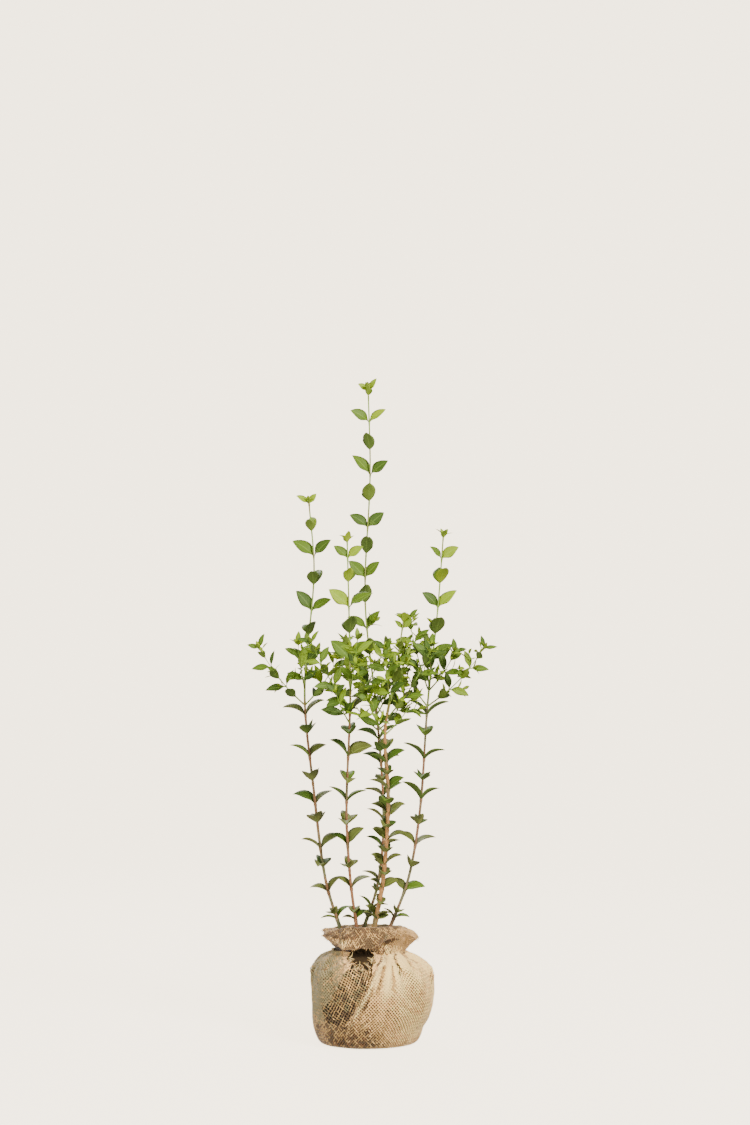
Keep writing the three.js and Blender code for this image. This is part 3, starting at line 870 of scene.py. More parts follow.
def grow_shoot(cane, shoot, seed):
    roll = dice(seed)
    points, radii, headings, side = shoot_limb(cane, shoot)
    mass = new_mass(cane, "shoot", (points, radii))
    length = shoot[2]
    pairs = max(2, math.floor(length / SHOOT_GAP + 0.5) - 1)
    for pair in range(pairs + 1):
        last = pair == pairs
        share = 0.985 if last else (pair + 0.85 + roll(-0.1, 0.1)) / (pairs + 0.75)
        step = min(SHOOT_STEPS - 1, math.floor(share * SHOOT_STEPS))
        base = points[step] + headings[step] * (share * length - step * length / SHOOT_STEPS)
        here = frame_of(headings[step], side)
        size = TIP_LEAF if last else SHOOT_LEAF * (1 - 0.3 * (pair / pairs) ** 2)
        rise, droop = (TIP_RISE, TIP_DROOP) if last else (SHOOT_RISE, YOUNG_DROOP)
        add_pair(mass, base, here, 90 * pair, size, rise, droop, roll)
        if last:
            bud = base + here[0] * 0.5
            add_pair(mass, bud, here, 90 * pair + 90, BUD_LEAF, BUD_RISE, BUD_DROOP, roll)
    return mass


# Leaves that would touch another mass are turned aside or made smaller, or else skipped

def gaps_to_segments(points, start, end):
    run = end - start
    share = np.einsum("psk,sk->ps", points[:, None] - start, run) / np.einsum("sk,sk->s", run, run)
    nearest = start + np.clip(share, 0, 1)[..., None] * run
    return np.linalg.norm(points[:, None] - nearest, axis=-1)


def touches_limb(samples, centre, reach, owner, limbs):
    near = limbs["owner"] != owner
    near &= gaps_to_segments(centre[None], limbs["start"], limbs["end"])[0] <= reach + 8
    if not near.any():
        return False
    gaps = gaps_to_segments(samples, limbs["start"][near], limbs["end"][near])
    return bool((gaps < limbs["radius"][near] + LIMB_CLEARANCE).any())


def touches_leaf(samples, centre, reach, owner, placed):
    for other in placed:
        if other[0] == owner or np.linalg.norm(other[2] - centre) >= reach + other[3] + LEAF_CLEARANCE:
            continue
        if np.linalg.norm(other[1][:, None] - samples, axis=-1).min() < LEAF_CLEARANCE:
            return True
    return False


TRIALS = [(0, 1), (16, 1), (-16, 1), (32, 0.92), (-32, 0.92), (0, 0.75), (24, 0.75), (-24, 0.75)]


def settle(masses):
    limbs = {
        "owner": np.concatenate([[n] * (len(mass["limb"][0]) - 1) for n, mass in enumerate(masses)]),
        "start": np.concatenate([mass["limb"][0][:-1] for mass in masses]),
        "end": np.concatenate([mass["limb"][0][1:] for mass in masses]),
        "radius": np.concatenate([mass["limb"][1][:-1] for mass in masses]),
    }
    placed = []
    for number, mass in enumerate(masses):
        for leaf in mass["leaves"]:
            for aside, shrink in TRIALS:
                turn = leaf["turn"] + math.radians(aside)
                trial = dict(leaf, turn=turn, length=leaf["length"] * shrink)
                samples = leaf_points(trial, SAMPLE_SHARES, SAMPLE_SIDES)
                centre = leaf_points(trial, np.array([0.5]), 0)[0]
                reach = trial["length"] / 2
                if (samples[:, 2].min() > LEAF_FLOOR
                        and not touches_limb(samples, centre, reach, number, limbs)
                        and not touches_leaf(samples, centre, reach, number, placed)):
                    placed.append((number, samples, centre, reach))
                    mass["kept"].append(trial)
                    break


def grow_plant():
    masses = [grow_cane(cane, CANE_SEED + index) for index, cane in enumerate(CANES)]
    masses += [grow_leader(cane, LEADER_SEED + index) for index, cane in enumerate(CANES)]
    for index, cane in enumerate(CANES):
        for place, shoot in enumerate(cane["shoots"]):
            masses.append(grow_shoot(cane, shoot, SHOOT_SEED + 10 * index + place))
    settle(masses)
    return masses


# The lowest leaves, close over the cloth: turn and size of each cane's pair

BASAL_HEIGHT = 196
BASAL_RISE = 46
BASAL_DROOP = 62
BASAL_LEAVES = {
    "left": (2, 29), "middle_left": (12, 25), "back": (-30, 25), "front": (212, 28), "right": (-6, 25),
}


def grow_basal(mass):
    turn, size = BASAL_LEAVES[mass["cane"]["name"]]
    low = new_mass(mass["cane"], "cane", mass["limb"])
    upright_pair(low, BASAL_HEIGHT, turn, size, BASAL_RISE, BASAL_DROOP, dice(BASAL_SEED))
    mass["kept"] += low["leaves"]
    mass["nodes"] += low["nodes"]


# Finer twigs: short spurs from the axils, with small leaves of their own

SPUR_LENGTHS = (9, 24)
SPUR_LEAF = 19
SPUR_CEILING = 668
SPUR_CHANCE = 0.42


def grow_tip(mass, roll):
    """The unfolding pairs at the very tip."""
    base, here, turn, _ = mass["nodes"][-1]
    add_spur_leaves(mass, base, here, math.degrees(turn), 17, roll)
    add_spur_leaves(mass, base + here[0] * 2, here, math.degrees(turn) + 90, 11, roll)


def grow_spurs(mass, seed):
    """Spurs of a leader's lower nodes and of a shoot's inner ones, each a path and its leaves."""
    roll = dice(seed)
    grow_tip(mass, roll)
    for base, frame_here, turn, _ in mass["nodes"][:-2]:
        if base[2] > SPUR_CEILING:
            continue
        along = frame_here[0]
        for half in (0, math.pi):
            if roll(0, 1) > SPUR_CHANCE:
                continue
            out = swing(frame_here, turn + half + roll(-0.3, 0.3))
            way = unit(along * roll(0.75, 1.2) + out * roll(0.7, 1.1))
            length = roll(*SPUR_LENGTHS)
            end = base + way * length
            mass["spurs"].append((base, base + way * length * 0.5 + along * 0.8, end + along * 2))
            here = frame_of(unit(way + along * 0.3), np.cross(along, out))
            leaf_size = SPUR_LEAF * roll(0.8, 1.2)
            add_spur_leaves(mass, base + way * length * 0.55, here, 90, leaf_size, roll)
            add_spur_leaves(mass, end, here, 0, leaf_size * 0.8, roll)


def add_spur_leaves(mass, base, here, turn, size, roll):
    for half in (0, 180):
        mass["kept"].append({
            "base": base, "frame": here, "turn": math.radians(turn + half + roll(-20, 20)),
            "length": size * roll(0.8, 1.15), "rise": math.radians(48 + roll(-10, 10)),
            "droop": math.radians(26 + roll(-8, 12)), "twist": math.radians(roll(-30, 40)),
            "fresh": True,
        })


# Leaf meshes

def blade_grid():
    shares = np.repeat(BLADE_ROWS, len(BLADE_SIDES))
    sides = np.tile(BLADE_SIDES, len(BLADE_ROWS))
    upper = grid_faces(len(BLADE_ROWS), len(BLADE_SIDES))
    inner = np.abs(sides) < 1
    under = np.arange(len(shares))
    under[inner] = len(shares) + np.arange(inner.sum())
    return shares, sides, inner, upper, under[upper][:, ::-1]


BLADE_SHARES, BLADE_SPREAD, BLADE_INNER, BLADE_UPPER, BLADE_UNDER = blade_grid()
BLADE_PLACES = np.stack([0.5 + BLADE_SPREAD / 2, BLADE_SHARES], axis=-1)
BLADE_PLACES = np.concatenate([BLADE_PLACES, BLADE_PLACES[BLADE_INNER]])
STALK_SHARES = np.array([0, 0.05, 0.1, 0.2, 0.36])
STALK_RADII = np.array([1.35, 1, 0.9, 0.6, 0.2])


def blade_outline(share):
    """The pointed outline of the finished blade, which narrows into its stalk."""
    blade = np.clip((share - BLADE_START) / (1 - BLADE_START), 0, 1)
    return np.sin(math.pi * blade ** 0.9) ** 0.86


def leaf_skin(pile, leaf, tone, phase, keel, slim):
    """A thin blade with a sunk midrib and a wavy margin, on a short round stalk."""
    length = leaf["length"]
    side = np.abs(BLADE_SPREAD)
    wave = 0.01 * length * np.sin(2 * math.pi * 1.2 * BLADE_SHARES + phase + BLADE_SPREAD) * side ** 2
    lift = wave + length * (keel * side - 0.03 * side ** 3) * blade_outline(BLADE_SHARES)
    wide = slim * BLADE_SPREAD
    top = leaf_points(leaf, BLADE_SHARES, wide, lift, blade_outline)
    shares, wide, lift = [part[BLADE_INNER] for part in (BLADE_SHARES, wide, lift)]
    below = leaf_points(leaf, shares, wide, lift - BLADE_THICKNESS, blade_outline)
    faces = np.concatenate([BLADE_UPPER, BLADE_UNDER])
    tones = np.repeat([2 * tone, 2 * tone + 1], len(BLADE_UPPER))
    pile.add(np.concatenate([top, below]), faces, tones, BLADE_PLACES)
    stalk = leaf_points(leaf, STALK_SHARES, 0, -0.25 * BLADE_THICKNESS)
    skin, faces = tube(stalk, (0.01 * length + 0.26) * STALK_RADII, 5)[:2]
    pile.add(skin, faces, 2 * tone, np.full((len(skin), 2), 0.49))


def leaf_tone(mass, leaf, roll):
    """Which colour a leaf has: old on the canes, deep on the leaders, young at the tips."""
    height = leaf["base"][2]
    chance = roll(0, 1)
    if leaf["length"] < 15:
        return YOUNG if chance < 0.65 else BRIGHT
    if leaf.get("fresh"):
        return MID if chance < 0.3 else (BRIGHT if chance < 0.75 else YOUNG)
    if mass["kind"] == "cane":
        return OLD if chance < (0.65 if height < 380 else 0.3) else (DEEP if chance < 0.85 else MID)
    if mass["kind"] == "shoot":
        return DEEP if chance < 0.34 else (MID if chance < 0.72 else BRIGHT)
    if chance < max(0, 1 - (cane_tip(mass["cane"]) - height) / 130):
        return YOUNG if chance < 0.5 else BRIGHT
    return DEEP if chance < 0.62 else MID


def dress_leaves(masses, materials):
    for index, cane in enumerate(CANES):
        roll = dice(LEAF_TONE_SEED + index)
        pile = Pile()
        for mass in masses:
            if mass["cane"] is not cane:
                continue
            keel = 0.07 if mass["kind"] == "cane" else 0.01
            for leaf in mass["kept"]:
                slim = BLADE_WIDTHS["spur" if leaf.get("fresh") else mass["kind"]]
                leaf_skin(pile, leaf, leaf_tone(mass, leaf, roll), roll(0, 6.3), keel, slim)
        pile.piece(f"leaves_{cane['name']}", materials, "foliage", *mass_nodes(cane))


def mass_nodes(cane):
    name = cane["name"]
    shoots = [f"shoot_{name}_{place + 1}" for place in range(len(cane["shoots"]))]
    return [f"cane_{name}", f"leader_{name}", *shoots]


# Stems

BUD_SHARES = np.array([0, 0.25, 0.5, 0.8, 1])
BUD_RADII = np.array([0.5, 0.85, 0.8, 0.42, 0.03])


def swelling(heights, turns, nodes, amount):
    """How far the stem swells at its leaf nodes, most under the leaves."""
    total = np.zeros((len(heights), len(turns)))
    for base, _, turn, _ in nodes:
        away = (heights - base[2])[:, None]
        ring = np.exp(-(away / 1.9) ** 2) * (0.65 + 0.6 * np.cos(2 * (turns - turn))[None])
        total += amount * (ring + 0.5 * np.exp(-((away + 2.6) / 1.6) ** 2))
    return total


def upright(cane, low, high, sides, step):
    """Heights, path and turns for the skin of an upright stem."""
    heights = np.linspace(low, high, int((high - low) / step))
    return heights, np.array([spot(cane["route"], height) for height in heights]), turns_round(sides)


def bark_skin(cane, mass, sides=16, step=1.5):
    heights, path, turns = upright(cane, FOOT_HEIGHT - 5, cane_top(cane) + 1.5, sides, step)
    plain = np.array([cane_radius(cane, max(FOOT_HEIGHT - 3, height)) for height in heights])[:, None]
    around = polar(3, turns[None], heights[:, None] * 0.16)
    seed = len(cane["name"])
    ribs = 0.05 * noise(around, 1.1, seed) + 0.035 * noise(around * [1, 1, 4], 2.3, seed + 1)
    knobs = 0.1 * np.maximum(0, noise(around * [1, 1, 9], 0.9, seed + 2) - 0.45)
    swell = swelling(heights, turns, mass["nodes"], 0.16 * cane["girth"] + 0.12)
    return rings(path, plain * (1 + ribs) + knobs + swell, sides, RIGHT)


def dress_canes(masses):
    for cane, mass in zip(CANES, masses):
        name = cane["name"]
        pile = Pile()
        pile.add(*bark_skin(cane, mass))
        add_buds(pile, mass, 0.9)
        pile.piece(f"bark_{name}", [bark_material(name, cane_top(cane))], "bark", f"cane_{name}")


def add_buds(pile, mass, size):
    """A small pointed bud in the axil of every leaf."""
    for base, frame_here, turn, _ in mass["nodes"]:
        stand = 0.75 * cane_radius(mass["cane"], base[2]) if mass["kind"] == "cane" else 0.8
        for half in (0, math.pi):
            out = swing(frame_here, turn + half)
            foot = base + out * stand + frame_here[0] * 0.8
            path = foot + BUD_SHARES[:, None] * size * (3.1 * frame_here[0] + 1.1 * out)
            pile.add(*tube(path, size * BUD_RADII, 6))


def leader_skin(cane, mass, sides=9, step=3):
    top, tip = cane_top(cane), cane_tip(cane)
    heights, path, turns = upright(cane, top - 1, tip + 1.5, sides, step)
    plain = np.array([cane_radius(cane, min(height, tip)) for height in heights])[:, None]
    start = smooth(top + 30, top, heights)[:, None]
    slim = blend(0.85 + 0.38 * plain, plain, start)
    return rings(path, slim + swelling(heights, turns, mass["nodes"], 0.36), sides, RIGHT)


def rounded(path, times=2):
    """Cuts a path's corners, keeping its ends."""
    path = np.asarray(path, float)
    for _ in range(times):
        near = 0.75 * path[:-1] + 0.25 * path[1:]
        far = 0.25 * path[:-1] + 0.75 * path[1:]
        middle = np.stack([near, far], axis=1).reshape(-1, path.shape[1])
        path = np.concatenate([path[:1], middle, path[-1:]])
    return path


def shoot_skin(mass):
    points, radii = mass["limb"]
    inner = points[0] - unit(points[0] - spot(mass["cane"]["route"], points[0][2])) * 1.8
    path = np.concatenate([[inner - [0, 0, 1]], points])
    both = rounded(np.column_stack([path, np.concatenate([[1.7], radii * [1.25, 1, 1, 1, 0.6]])]))
    fine = np.linspace(0, len(both) - 1, 56)
    both = np.stack([np.interp(fine, np.arange(len(both)), both[:, part]) for part in range(4)], axis=-1)
    swell = np.zeros(len(both))
    for base, *_ in mass["nodes"]:
        swell += 0.3 * np.exp(-(np.linalg.norm(both[:, :3] - base, axis=1) / 1.8) ** 2)
    return tube(both[:, :3], both[:, 3] + swell, 8)


def dress_twigs(masses):
    material = stem_material()
    for cane in CANES:
        pile = Pile()
        for mass in masses:
            if mass["cane"] is not cane or mass["kind"] == "cane":
                continue
            pile.add(*(leader_skin(cane, mass) if mass["kind"] == "leader" else shoot_skin(mass)))
            add_buds(pile, mass, 0.55)
            for spur in mass["spurs"]:
                path = rounded(spur)
                pile.add(*tube(path, np.linspace(0.6, 0.3, len(path)), 5))
        pile.piece(f"twigs_{cane['name']}", [material], "foliage", *mass_nodes(cane)[1:])


# Root ball and its cloth

def ball_radius(height):
    low = height < WAIST_HEIGHT
    reach = np.where(low, LOWER_REACH, UPPER_REACH)
    power = np.where(low, LOWER_POWER, UPPER_POWER)
    share = np.abs(height - WAIST_HEIGHT) / reach
    return BALL_RADIUS * np.maximum(0, 1 - share ** power) ** (1 / LOWER_POWER)


def ball_middle(height):
    return BALL_LEAN - BALL_BEND * (np.maximum(HEEL_HEIGHT, height) - WAIST_HEIGHT) ** 2


def pleat(angle, height):
    share = np.clip(height / NECK_HEIGHT, 0, 1)
    wander = 0.55 * np.sin(2 * angle + 0.8) + 0.3 * np.sin(5 * angle)
    return PLEAT_DEPTH * share ** 2.5 * np.sin(PLEATS * angle + wander + 2.4 * share)


def lopsided(angle, height):
    share = height / NECK_HEIGHT
    return 1.4 * np.sin(2 * angle + 0.6) + 1.6 * share * np.sin(3 * angle + 2.1)


# Where the cloth is gathered: angle round the ball, height, and its folds as a direction from
# straight down, how far they stand out, their width and their length
GATHERS = [
    (-148, 156, [(62, 2.4, 6, 60), (38, 2.0, 6, 60), (10, 2.4, 7, 70), (-20, 2.2, 6, 70),
                 (-48, 2.6, 6, 70), (-75, 2.0, 6, 60)]),
    (10, 152, [(-60, 2.4, 6, 60), (-30, 3.0, 5, 85), (-8, 2.2, 6, 60), (14, 3.2, 6, 90),
               (38, 2.4, 6, 70), (66, 2.2, 6, 60)]),
    (72, 153, [(-70, 2.2, 6, 60), (-34, 3.2, 5, 95), (-12, 2.4, 5, 60), (12, 3.4, 7, 80),
               (30, 2.2, 5, 90), (58, 2.6, 6, 60)]),
    (134, 155, [(-62, 2.4, 6, 60), (-26, 2.8, 6, 80), (0, 3.2, 6, 100), (28, 2.4, 5, 70),
                (60, 2.4, 6, 60)]),
    (178, 152, [(-40, 3.0, 6, 80), (-14, 2.4, 5, 60), (14, 3.0, 7, 90), (44, 2.4, 6, 70)]),
]

# The pleats of the front, fanning out from under the frill: where each starts and ends, as x and
# height, how far it stands out and its width
FAN_PLEATS = [
    ((29, 154), (-24, 50), 8, 3.5), ((25, 150), (5, 92), 4.6, 3.4), ((34, 150), (24, 84), 4.4, 6.5),
    ((38, 152), (60, 122), 4.6, 2.6), ((36, 150), (50, 96), 3.2, 4), ((48, 152), (84, 134), 4, 4),
    ((44, 150), (74, 108), 3, 4.5), ((-30, 138), (-50, 92), 2.6, 5), ((-36, 140), (-74, 110), 2.6, 5),
]
FAN_FLOOR = -2.8


def front_angle(x, height):
    """The angle of the ball's front at this x and height."""
    radius = np.maximum(ball_radius(height), 1)
    return -np.arccos(np.clip((x - ball_middle(height)) / radius, -0.999, 0.999))


def fan_folds(angle, height):
    """How far the front's pleats stand out, each a ridge between two furrows."""
    x = ball_middle(height) + ball_radius(np.minimum(height, NECK_HEIGHT)) * np.cos(angle)
    place = together(x, height)
    total = np.zeros(place.shape[:-1])
    for start, end, depth, width in FAN_PLEATS:
        run = np.array(end, float) - start
        length = np.hypot(*run)
        down = (place - start) @ run / length
        off = (place - start) @ np.array([run[1], -run[0]]) / length
        off = off + 0.5 * np.sin(down * 0.09 + depth)
        share = np.clip(down / length, 0, 1.3)
        fade = smooth(-4, 6, down) * smooth(1.25, 0.7, share)
        spread = (off / (width * (0.45 + 0.7 * share))) ** 2
        total += depth * fade * (1 - 0.85 * spread) * np.exp(-spread / 1.5)
    return np.maximum(total, FAN_FLOOR) * smooth(0.1, -0.2, np.sin(angle))


def past(angle, turn):
    """How far an angle lies past this turn, in degrees, as radians from minus pi to pi."""
    return (angle - math.radians(turn) + math.pi) % (2 * math.pi) - math.pi


def near_angle(angle, turn, width):
    return np.exp(-(past(angle, turn) / math.radians(width)) ** 2)


def folds(angle, height):
    total = fan_folds(angle, height)
    for turn, top, ridges in GATHERS:
        aside = past(angle, turn) * 0.86 * BALL_RADIUS
        down = top - height
        away = np.hypot(aside, down)
        way = np.arctan2(aside, np.maximum(down, -6))
        for direction, depth, width, length in ridges:
            off = (way - math.radians(direction)) * away
            spread = width * (0.55 + 0.45 * away / length)
            fade = smooth(4, 20, away) * np.exp(-(away / length) ** 3)
            total += 1.4 * depth * fade * np.exp(-(off / spread) ** 2)
    return total


def profile(points):
    """A section as lengths along it and its radii and heights."""
    points = np.array(points, float)
    return run_along(points), points[:, 0], points[:, 1]


def ball_profile():
    points = [(float(ball_radius(0)) - inset, height) for inset, height in BALL_HEEL]
    points += [(float(ball_radius(height)) - 1.1, height) for height in np.linspace(6, NECK_HEIGHT, 60)]
    points.append((points[-1][0] - 1.5, NECK_HEIGHT + 4))
    return profile(points)


BALL_RUN, BALL_RADII, BALL_HEIGHTS = ball_profile()


def ball_surface(angle, run):
    """The cloth's middle layer, for an angle and millimetres up its side from under the heel."""
    radius = np.interp(run, BALL_RUN, BALL_RADII)
    height = np.interp(run, BALL_RUN, BALL_HEIGHTS)
    grown = smooth(2, 30, height)
    radius = radius + lopsided(angle, height) + pleat(angle, height)
    radius = radius + grown * (folds(angle, height) - 1.2)
    points = polar(radius, angle, height, ball_middle(height))
    rumple = grown * layered(points, BALL_RUMPLE)
    return points + polar(rumple, angle, 0)


def torn(points, wider, higher, seed):
    """Below 1 inside the ragged oval of the tear."""
    aside, up = points[..., 0] - TEAR_CENTRE[0], points[..., 2] - TEAR_CENTRE[1] - higher
    depth = np.hypot(aside / (TEAR_SIZE[0] + wider), up / TEAR_SIZE[1])
    return depth + 0.16 * noise(points, 7, seed)


def tear_depth(points):
    """Below 1 inside the torn opening of the front."""
    return np.where(points[..., 1] < 0, torn(points, 0, 0, 21), 9)


def looseness(points):
    """1 in the slack, open patch under the tear, fading to 0 round it."""
    start, end = np.array(LOOSE_FROM), np.array(LOOSE_TO)
    place = points[..., [0, 2]] - start
    run = end - start
    share = np.clip((place @ run) / (run @ run), 0, 1)
    away = np.linalg.norm(place - share[..., None] * run, axis=-1) + 3 * noise(points, 12, 8)
    return np.where(points[..., 1] < 0, 1 - smooth(LOOSE_WIDTH - 5, LOOSE_WIDTH + 4, away), 0)


def matting(points):
    """1 where the cloth is matted smooth: the left flank, the shoulders and the fan of pleats."""
    x, y, z = np.moveaxis(points, -1, 0)
    left = smooth(-44, -70, x + 5 * noise(points, 16, 29))
    high = smooth(98, 126, z - 0.25 * (x - 40) + 16 * noise(points, 20, 30))
    fan = np.exp(-((x - 26) / 22) ** 2 - ((z - 112) / 26) ** 2) * (y < 0)
    matted = np.maximum(np.maximum(high * (1 - left), 0.5 * left), 1.3 * fan)
    return np.clip(matted, 0, 1) * (1 - looseness(points))


def ball_cover(points):
    """How much of its pitch a thread fills: most where the cloth is matted."""
    x, z = points[..., 0], points[..., 2]
    opened = 0.05 * smooth(-20, 20, x) * smooth(110, 80, z)
    return 0.42 - opened + 0.37 * matting(points) + layered(points, BALL_STIR)


def pick_tones(weights, points, grain, seed):
    """The heaviest tone for each place, stirred from thread to thread and along each thread."""
    names = list(weights)
    stack = []
    for order, name in enumerate(names):
        stir = 0.42 * noise(grain, 1, seed + order) + 0.06 * noise(points, 12, seed + 40 + order)
        stack.append(np.broadcast_to(weights[name], points.shape[:-1]) + stir)
    index = np.argmax(np.stack(stack), axis=0)
    return np.array([TONE_NAMES.index(name) for name in names])[index]


def ball_tones(points, grain):
    x, y, z = np.moveaxis(points, -1, 0)
    front = smooth(30, -30, y)
    # Painted highlight: the fan of pleats under the frill leans to the pale tone and away from brown.
    fan = np.exp(-((x - 30) / 30) ** 2 - ((z - 118) / 34) ** 2) * front
    left = smooth(-22, -62, x) * smooth(14, 50, z) * smooth(50, 0, y)
    low = smooth(62, 8, z + 0.12 * x) * smooth(70, -30, x)
    # Painted light: the right side, towards the key light, leans to the pale tone, less so near the
    # bottom.
    right = smooth(14, 58, x) * (1 - 0.5 * smooth(24, 2, z))
    # Painted highlight and shade on the front's pleats: the pale tone gains on their crests, tan and
    # brown in their furrows.
    fold = fan_folds(np.arctan2(y, x - ball_middle(z)), z) * front
    furrow_shade = -np.minimum(fold + 0.35, 0)
    return pick_tones({
        "pale": 0.24 + 0.6 * fan + 0.5 * right + 0.12 * fold - 0.3 * left,
        "cream": 0.6 + 0.1 * front - 0.28 * low - 0.3 * left,
        "tan": 0.52 + 0.2 * low + 0.1 * left + 0.9 * furrow_shade - 0.1 * right,
        "olive": 0.22 + 0.62 * left + 0.12 * smooth(20, 90, y),
        "brown": 0.3 + 0.48 * low + 0.12 * smooth(20, 90, y) + 0.14 * left + 1.1 * furrow_shade - 0.2 * fan,
        "rust": 0.16 + 0.5 * low * smooth(40, -20, x),
    }, points, grain, BALL_TONE_SEED)


def loose_tones(points, grain):
    low = smooth(100, 60, points[..., 2])
    return pick_tones({
        "pale": 0.1, "cream": 0.4 - 0.1 * low, "tan": 0.52, "olive": 0.44, "brown": 0.46 + 0.1 * low,
    }, points, grain, LOOSE_TONE_SEED)


# Weaving: two families of threads cross on a surface, each passing over and under the other

def weave(surface, threads, length, cover, tones, shut, seed, pitch=THREAD_PITCH):
    """Two piles, one for each family. shut says where, and how deep in, a thread is missing."""
    rise = pitch * math.sqrt(2)
    samples = int(length / rise * WAVE_STEPS)
    piles = []
    for family in (1, -1):
        along = np.arange(samples + 1)[None, :] / WAVE_STEPS
        around = np.arange(threads)[:, None] - family * along
        angle = 2 * math.pi * around / threads
        run = np.broadcast_to(along * rise, angle.shape)
        centre = surface(angle, run)
        lift = family * THREAD_LIFT * np.cos(2 * math.pi * around) * (pitch / THREAD_PITCH)
        wide = cover(centre) * thread_spacing(centre) * (1 + 0.14 * noise(centre, 5, seed + family))
        normal = surface_normal(surface, angle, run)
        pile = Pile()
        pile.add(*strips(centre, normal, lift, wide, tones, shut, seed + family))
        piles.append(pile)
    return piles


def surface_normal(surface, across, up, steps=(0.004, 0.4)):
    """The direction out of a surface, from its slopes over these steps each way."""
    aside = surface(across + steps[0], up) - surface(across - steps[0], up)
    rise = surface(across, up + steps[1]) - surface(across, up - steps[1])
    return unit(np.cross(aside, rise))


def thread_spacing(centre):
    """The gap between neighbouring threads, square to them."""
    way = unit(np.gradient(centre, axis=1))
    across = np.roll(centre, -1, axis=0) - centre
    across = across - np.sum(across * way, axis=-1, keepdims=True) * way
    return np.clip(np.linalg.norm(across, axis=-1), 0.8, 5)


def strips(centre, normal, lift, wide, tones, shut, seed):
    """The skin of a family of threads: points, faces, tones and places on the pattern."""
    threads, samples = centre.shape[:2]
    across = unit(np.cross(normal, unit(np.gradient(centre, axis=1))))
    middle = centre + normal * lift[..., None]
    half = (wide / 2)[..., None]
    crest = THREAD_CREST * np.clip(wide / 2.2, 0.5, 1.1)[..., None]
    points = np.stack([
        middle - across * half - normal * 0.2,
        middle + normal * crest,
        middle + across * half - normal * 0.2,
    ], axis=2)
    number, step = np.arange(threads), np.arange(samples)
    places = together(number[:, None, None] * 3 + np.array([0, 0.5, 1]), step[None, :, None] * 1.1)
    jitter = lattice(together(number, 7, 0), seed)
    kept = shut(middle) > 1 - 0.16 * np.abs(jitter)[:, None]
    kept = kept[:, :-1] & kept[:, 1:]
    grain = together(number[:, None] * 1.7, step[None, :-1] * 0.24, 0.5)
    tone = tones((middle[:, :-1] + middle[:, 1:]) / 2, grain)[kept]
    first = ((number[:, None] * samples + step[None, :-1]) * 3)[kept]
    left = np.stack([first, first + 1, first + 4, first + 3], axis=-1)
    return points, np.concatenate([left, left + 1]), np.concatenate([tone, tone]), places.reshape(-1, 2)


def backing(surface, length, inset, shut, rows, columns, tone):
    """The closed inner layer of the cloth, behind the threads."""
    run, angle = np.broadcast_arrays(np.linspace(0, length, rows)[:, None], turns_round(columns))
    points = (surface(angle, run) - surface_normal(surface, angle, run) * inset).reshape(-1, 3)
    faces = grid_faces(rows, columns, True)
    faces = faces[(shut(points) > 1)[faces].all(axis=1)]
    places = np.stack([angle * 90, run], axis=-1).reshape(-1, 2)
    return points, faces, tone(points[faces].mean(axis=1)), places


def lining_tone(points):
    """Painted shade, near black, in the slack patch; matted on the shoulders, brown between the threads
    elsewhere.
    """
    return np.where(looseness(points) > 0.2, SHADED, np.where(matting(points) > 0.55, MATTED, GAP))


def ball_shut(points):
    """Below 1 in the tear and in the slack patch, which has a weave of its own."""
    return np.minimum(tear_depth(points), 1.7 - looseness(points))


# The slack patch: its threads lie wider apart and hang askew

def loose_surface(across, down):
    """The patch as shares of its width and of its length from its top."""
    steep, fall = math.radians(LOOSE_STEEP), math.radians(LOOSE_FALL)
    up, over = 95 - 122 * down, 70 * across - 26
    x = LOOSE_PLACE[0] + up * math.cos(steep) + over * math.cos(fall) - LOOSE_BEND * down ** 2
    z = LOOSE_PLACE[1] + up * math.sin(steep) + over * math.sin(fall)
    z = np.clip(z, 4, NECK_HEIGHT - 2)
    run = np.interp(z, BALL_HEIGHTS, BALL_RUN)
    return ball_surface(front_angle(x, z), run)


def loose_shut(points):
    return np.minimum(tear_depth(points), 0.72 + looseness(points))


def patch(surface, size, pitch, cover, tones, shut, seed):
    """A pile of plain weave, this many threads each way, on a surface of two shares."""
    pile = Pile()
    for family in (1, -1):
        threads, crossed = size[::family]
        number, along = np.broadcast_arrays(
            np.arange(threads)[:, None] + 0.5, np.arange(2 * crossed + 1)[None, :] / 2,
        )
        wander = 0.16 * noise(together(number * 3.1, along * 0.3, 0), 1, seed + 5)
        first, second = ((number + wander) / threads, along / crossed)[::family]
        centre = surface(first, second)
        normal = -surface_normal(surface, first, second, (0.002, 0.002))
        lift = family * THREAD_LIFT * np.cos(math.pi * (number + along - 1))
        wide = cover * pitch * (1 + 0.25 * noise(centre, 5, seed + family))
        pile.add(*strips(centre, normal, lift, wide, tones, shut, seed + family))
    return pile


def dress_ball(threads, cloths):
    length = BALL_RUN[-1]
    piles = weave(
        ball_surface, BALL_THREADS, length, ball_cover, ball_tones, ball_shut, BALL_WEAVE_SEED,
    )
    for pile, side in zip(piles, ("right", "left")):
        pile.piece(f"burlap_threads_{side}", threads, "burlap", "burlap_wrap")
    loose = patch(
        loose_surface, LOOSE_THREADS, LOOSE_PITCH, LOOSE_COVER, loose_tones, loose_shut, LOOSE_WEAVE_SEED,
    )
    loose.piece("burlap_loose", threads, "burlap", "burlap_wrap")
    pile = Pile()
    pile.add(*backing(ball_surface, length, 2.0, tear_depth, BALL_ROWS, BALL_COLUMNS, lining_tone))
    rim = pile.points[0][:BALL_COLUMNS]
    step = np.arange(BALL_COLUMNS)
    fan = together(BALL_COLUMNS, (step + 1) % BALL_COLUMNS, step)
    pile.add([*rim, [*rim.mean(axis=0)[:2], 1.0]], fan)
    pile.piece("burlap_lining", cloths, "burlap", "burlap_wrap")


# Frill

